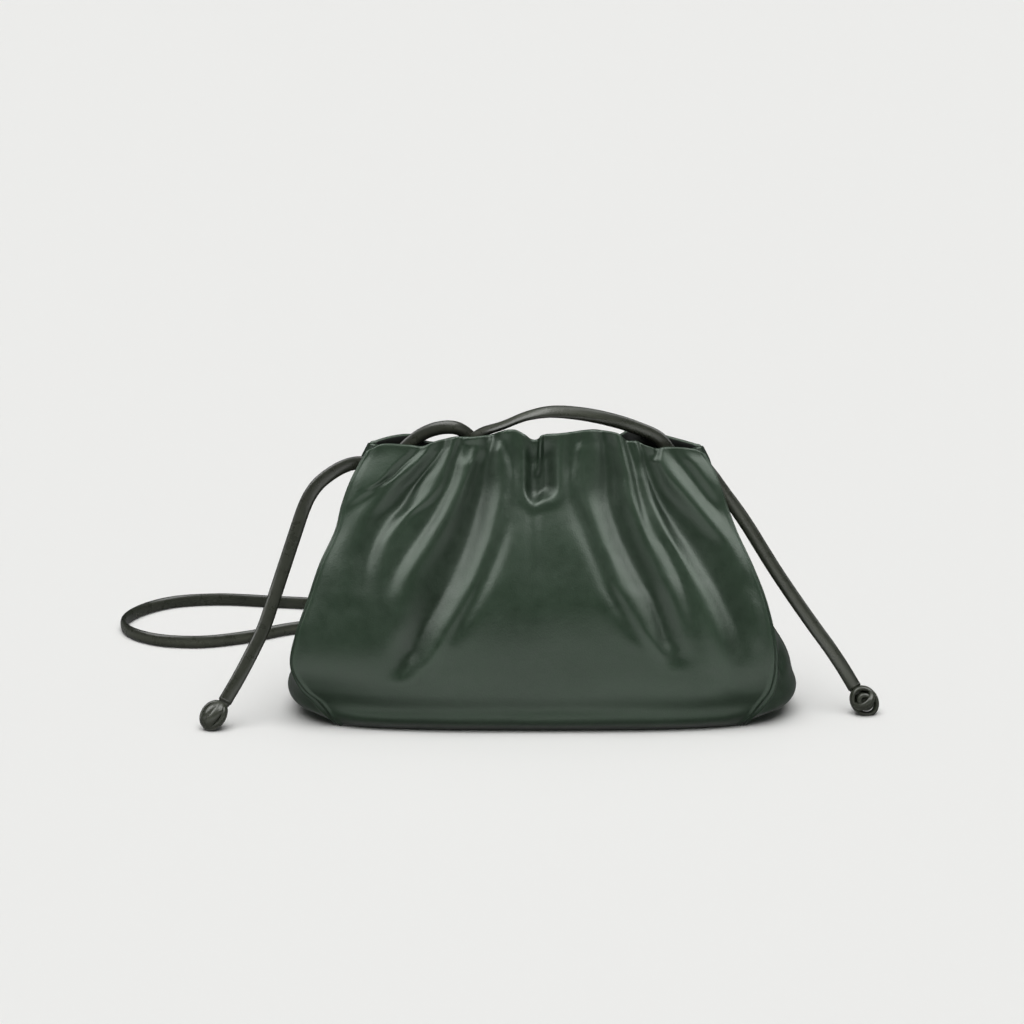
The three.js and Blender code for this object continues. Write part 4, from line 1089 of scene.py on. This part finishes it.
def base_piece():
    """The stiffened bottom inside the foot of the walls."""
    side = np.linspace(-1, 1, BASE_SIDE_POINTS + 1)[:-1]
    foot = np.zeros_like(side)
    walls = (FRONT(side, foot), GUSSET_RIGHT(side, foot), BACK(-side, foot), GUSSET_LEFT(-side, foot))
    outline = np.concatenate(walls)[:, :2]
    along = unit(np.roll(outline, -1, axis=0) - np.roll(outline, 1, axis=0))
    inward = np.stack([-along[:, 1], along[:, 0]], axis=1)
    rings = [np.column_stack([outline + inward * inset, np.full(len(outline), z)]) for inset, z in BASE_SIDES]
    points = np.vstack(rings)
    faces = ring_faces(len(rings), len(outline))
    return mesh_piece("base_leather", points, faces, [BODY], np.full(len(points), BODY_RUB))


def body_pieces():
    """The dressed walls and base, each with its node."""
    front_left = seam_normals(FRONT, GUSSET_LEFT)
    front_right = seam_normals(FRONT, GUSSET_RIGHT)
    back_left = seam_normals(BACK, GUSSET_LEFT)
    back_right = seam_normals(BACK, GUSSET_RIGHT)
    fuller = partial(gusset_relief, corner=RIGHT_CORNER)
    front = wall_shell("front_leather", FRONT, (front_left, front_right), fold_relief, FRONT_COLUMNS)
    back = wall_shell("back_leather", BACK, (back_left, back_right), back_relief, BACK_COLUMNS, mirror=True)
    seams = (front_left, back_left)
    name = "gusset_left_leather"
    left = wall_shell(name, GUSSET_LEFT, seams, gusset_relief, GUSSET_COLUMNS, mirror=True)
    seams = (front_right, back_right)
    name = "gusset_right_leather"
    right = wall_shell(name, GUSSET_RIGHT, seams, fuller, GUSSET_COLUMNS)
    return {
        "front_panel": front,
        "back_panel": back,
        "side_gusset_left": left,
        "side_gusset_right": right,
        "base_panel": base_piece(),
    }


for node, piece in body_pieces().items():
    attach(piece, "root")
    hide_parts(node)

# Floor and light. The floor carries a painted reflection: in the leather's reflections it glows bright in
# front of the bag, and dim beside and behind it as painted shade; the change runs between two places along
# the depth, in metres.
FLOOR_COLOUR = (0.84, 0.84, 0.825)
FLOOR_ROUGHNESS = 0.9
FLOOR_REACH = 12.0
PAINTED_REFLECTION_FRONT = 2.0
PAINTED_REFLECTION_SIDE = 0.2
FLOOR_DIM_TO = -0.043
FLOOR_BRIGHT_FROM = -0.073
HORIZON = 0.04
CEILING = 0.7
CEILING_FROM = 0.5
CEILING_FULL = 0.95
BACKDROP = (0.84, 0.84, 0.82)


def stage():
    """A pale matt floor with a painted reflection: in the leather's reflections it glows bright in front of
    the bag only, and dim beside and behind it.
    """
    material, nodes, links, shader = node_tree("pale_floor")
    shader.inputs["Base Color"].default_value = (*FLOOR_COLOUR, 1.0)
    shader.inputs["Roughness"].default_value = FLOOR_ROUGHNESS
    shader.inputs["Specular IOR Level"].default_value = 0.0
    place = add_node(nodes, "ShaderNodeTexCoord").outputs["Object"]
    split = add_node(nodes, "ShaderNodeSeparateXYZ")
    links.new(place, split.inputs[0])
    places = {"From Min": FLOOR_DIM_TO, "From Max": FLOOR_BRIGHT_FROM}
    front = add_node(nodes, "ShaderNodeMapRange", {**places, "To Min": PAINTED_REFLECTION_SIDE, "To Max": PAINTED_REFLECTION_FRONT})
    links.new(split.outputs["Y"], front.inputs["Value"])
    # Painted reflection: the floor glows for glossy rays only.
    painted_reflection = add_node(nodes, "ShaderNodeEmission")
    links.new(front.outputs[0], painted_reflection.inputs["Strength"])
    seen = add_node(nodes, "ShaderNodeLightPath").outputs["Is Glossy Ray"]
    blend = add_node(nodes, "ShaderNodeMixShader")
    links.new(seen, blend.inputs[0])
    links.new(shader.outputs[0], blend.inputs[1])
    links.new(painted_reflection.outputs[0], blend.inputs[2])
    links.new(blend.outputs[0], nodes["Material Output"].inputs["Surface"])
    mesh = bpy.data.meshes.new("floor")
    ways = ((-1, -1), (1, -1), (1, 1), (-1, 1))
    mesh.from_pydata([(x * FLOOR_REACH, y * FLOOR_REACH, 0) for x, y in ways], [], [(0, 1, 2, 3)])
    mesh.materials.append(material)
    floor = bpy.data.objects.new("floor", mesh)
    bpy.context.collection.objects.link(floor)


def soft_light(name, strength, elevation, azimuth, spread, diffuse=True, gloss=True):
    """A soft studio light far away; azimuth 0 is in front of the bag, and 90 to its right."""
    data = bpy.data.lights.new(name, "SUN")
    data.energy = strength
    data.angle = math.radians(spread)
    light = bpy.data.objects.new(name, data)
    high, round_bag = math.radians(elevation), math.radians(azimuth)
    level = math.cos(high)
    towards = Vector((math.sin(round_bag) * level, -math.cos(round_bag) * level, math.sin(high)))
    light.rotation_euler = towards.to_track_quat("Z", "Y").to_euler()
    light.location = towards
    light.visible_diffuse = diffuse
    light.visible_glossy = gloss
    bpy.context.collection.objects.link(light)


def studio_world():
    """Soft light from a pale ceiling, dimmer towards the horizon, with a pale backdrop for the camera."""
    world = bpy.data.worlds.new("studio")
    world.use_nodes = True
    nodes, links = world.node_tree.nodes, world.node_tree.links
    place = add_node(nodes, "ShaderNodeTexCoord").outputs["Generated"]
    split = add_node(nodes, "ShaderNodeSeparateXYZ")
    links.new(place, split.inputs[0])
    ramp = add_node(nodes, "ShaderNodeValToRGB")
    stops = ((CEILING_FROM, HORIZON), (CEILING_FULL, CEILING))
    for stop, (position, grey) in zip(ramp.color_ramp.elements, stops):
        stop.position = position
        stop.color = (grey, grey, grey, 1)
    links.new(split.outputs["Z"], ramp.inputs[0])
    seen = add_node(nodes, "ShaderNodeLightPath").outputs["Is Camera Ray"]
    blend = add_node(nodes, "ShaderNodeMix", {7: (*BACKDROP, 1.0)}, data_type="RGBA")
    links.new(seen, blend.inputs[0])
    links.new(ramp.outputs["Color"], blend.inputs[6])
    links.new(blend.outputs[2], nodes["Background"].inputs["Color"])
    bpy.context.scene.world = world


stage()
soft_light("key", 2.2, elevation=70, azimuth=-6, spread=60, gloss=False)
soft_light("left_box", 3.3, elevation=52, azimuth=-76, spread=53, diffuse=False)
soft_light("right_box", 3.4, elevation=52, azimuth=76, spread=53, diffuse=False)
soft_light("front_box", 0.16, elevation=44, azimuth=0, spread=60, diffuse=False)
soft_light("top_box", 0.5, elevation=84, azimuth=0, spread=50, diffuse=False)
bpy.context.scene.view_settings.view_transform = "Standard"
studio_world()
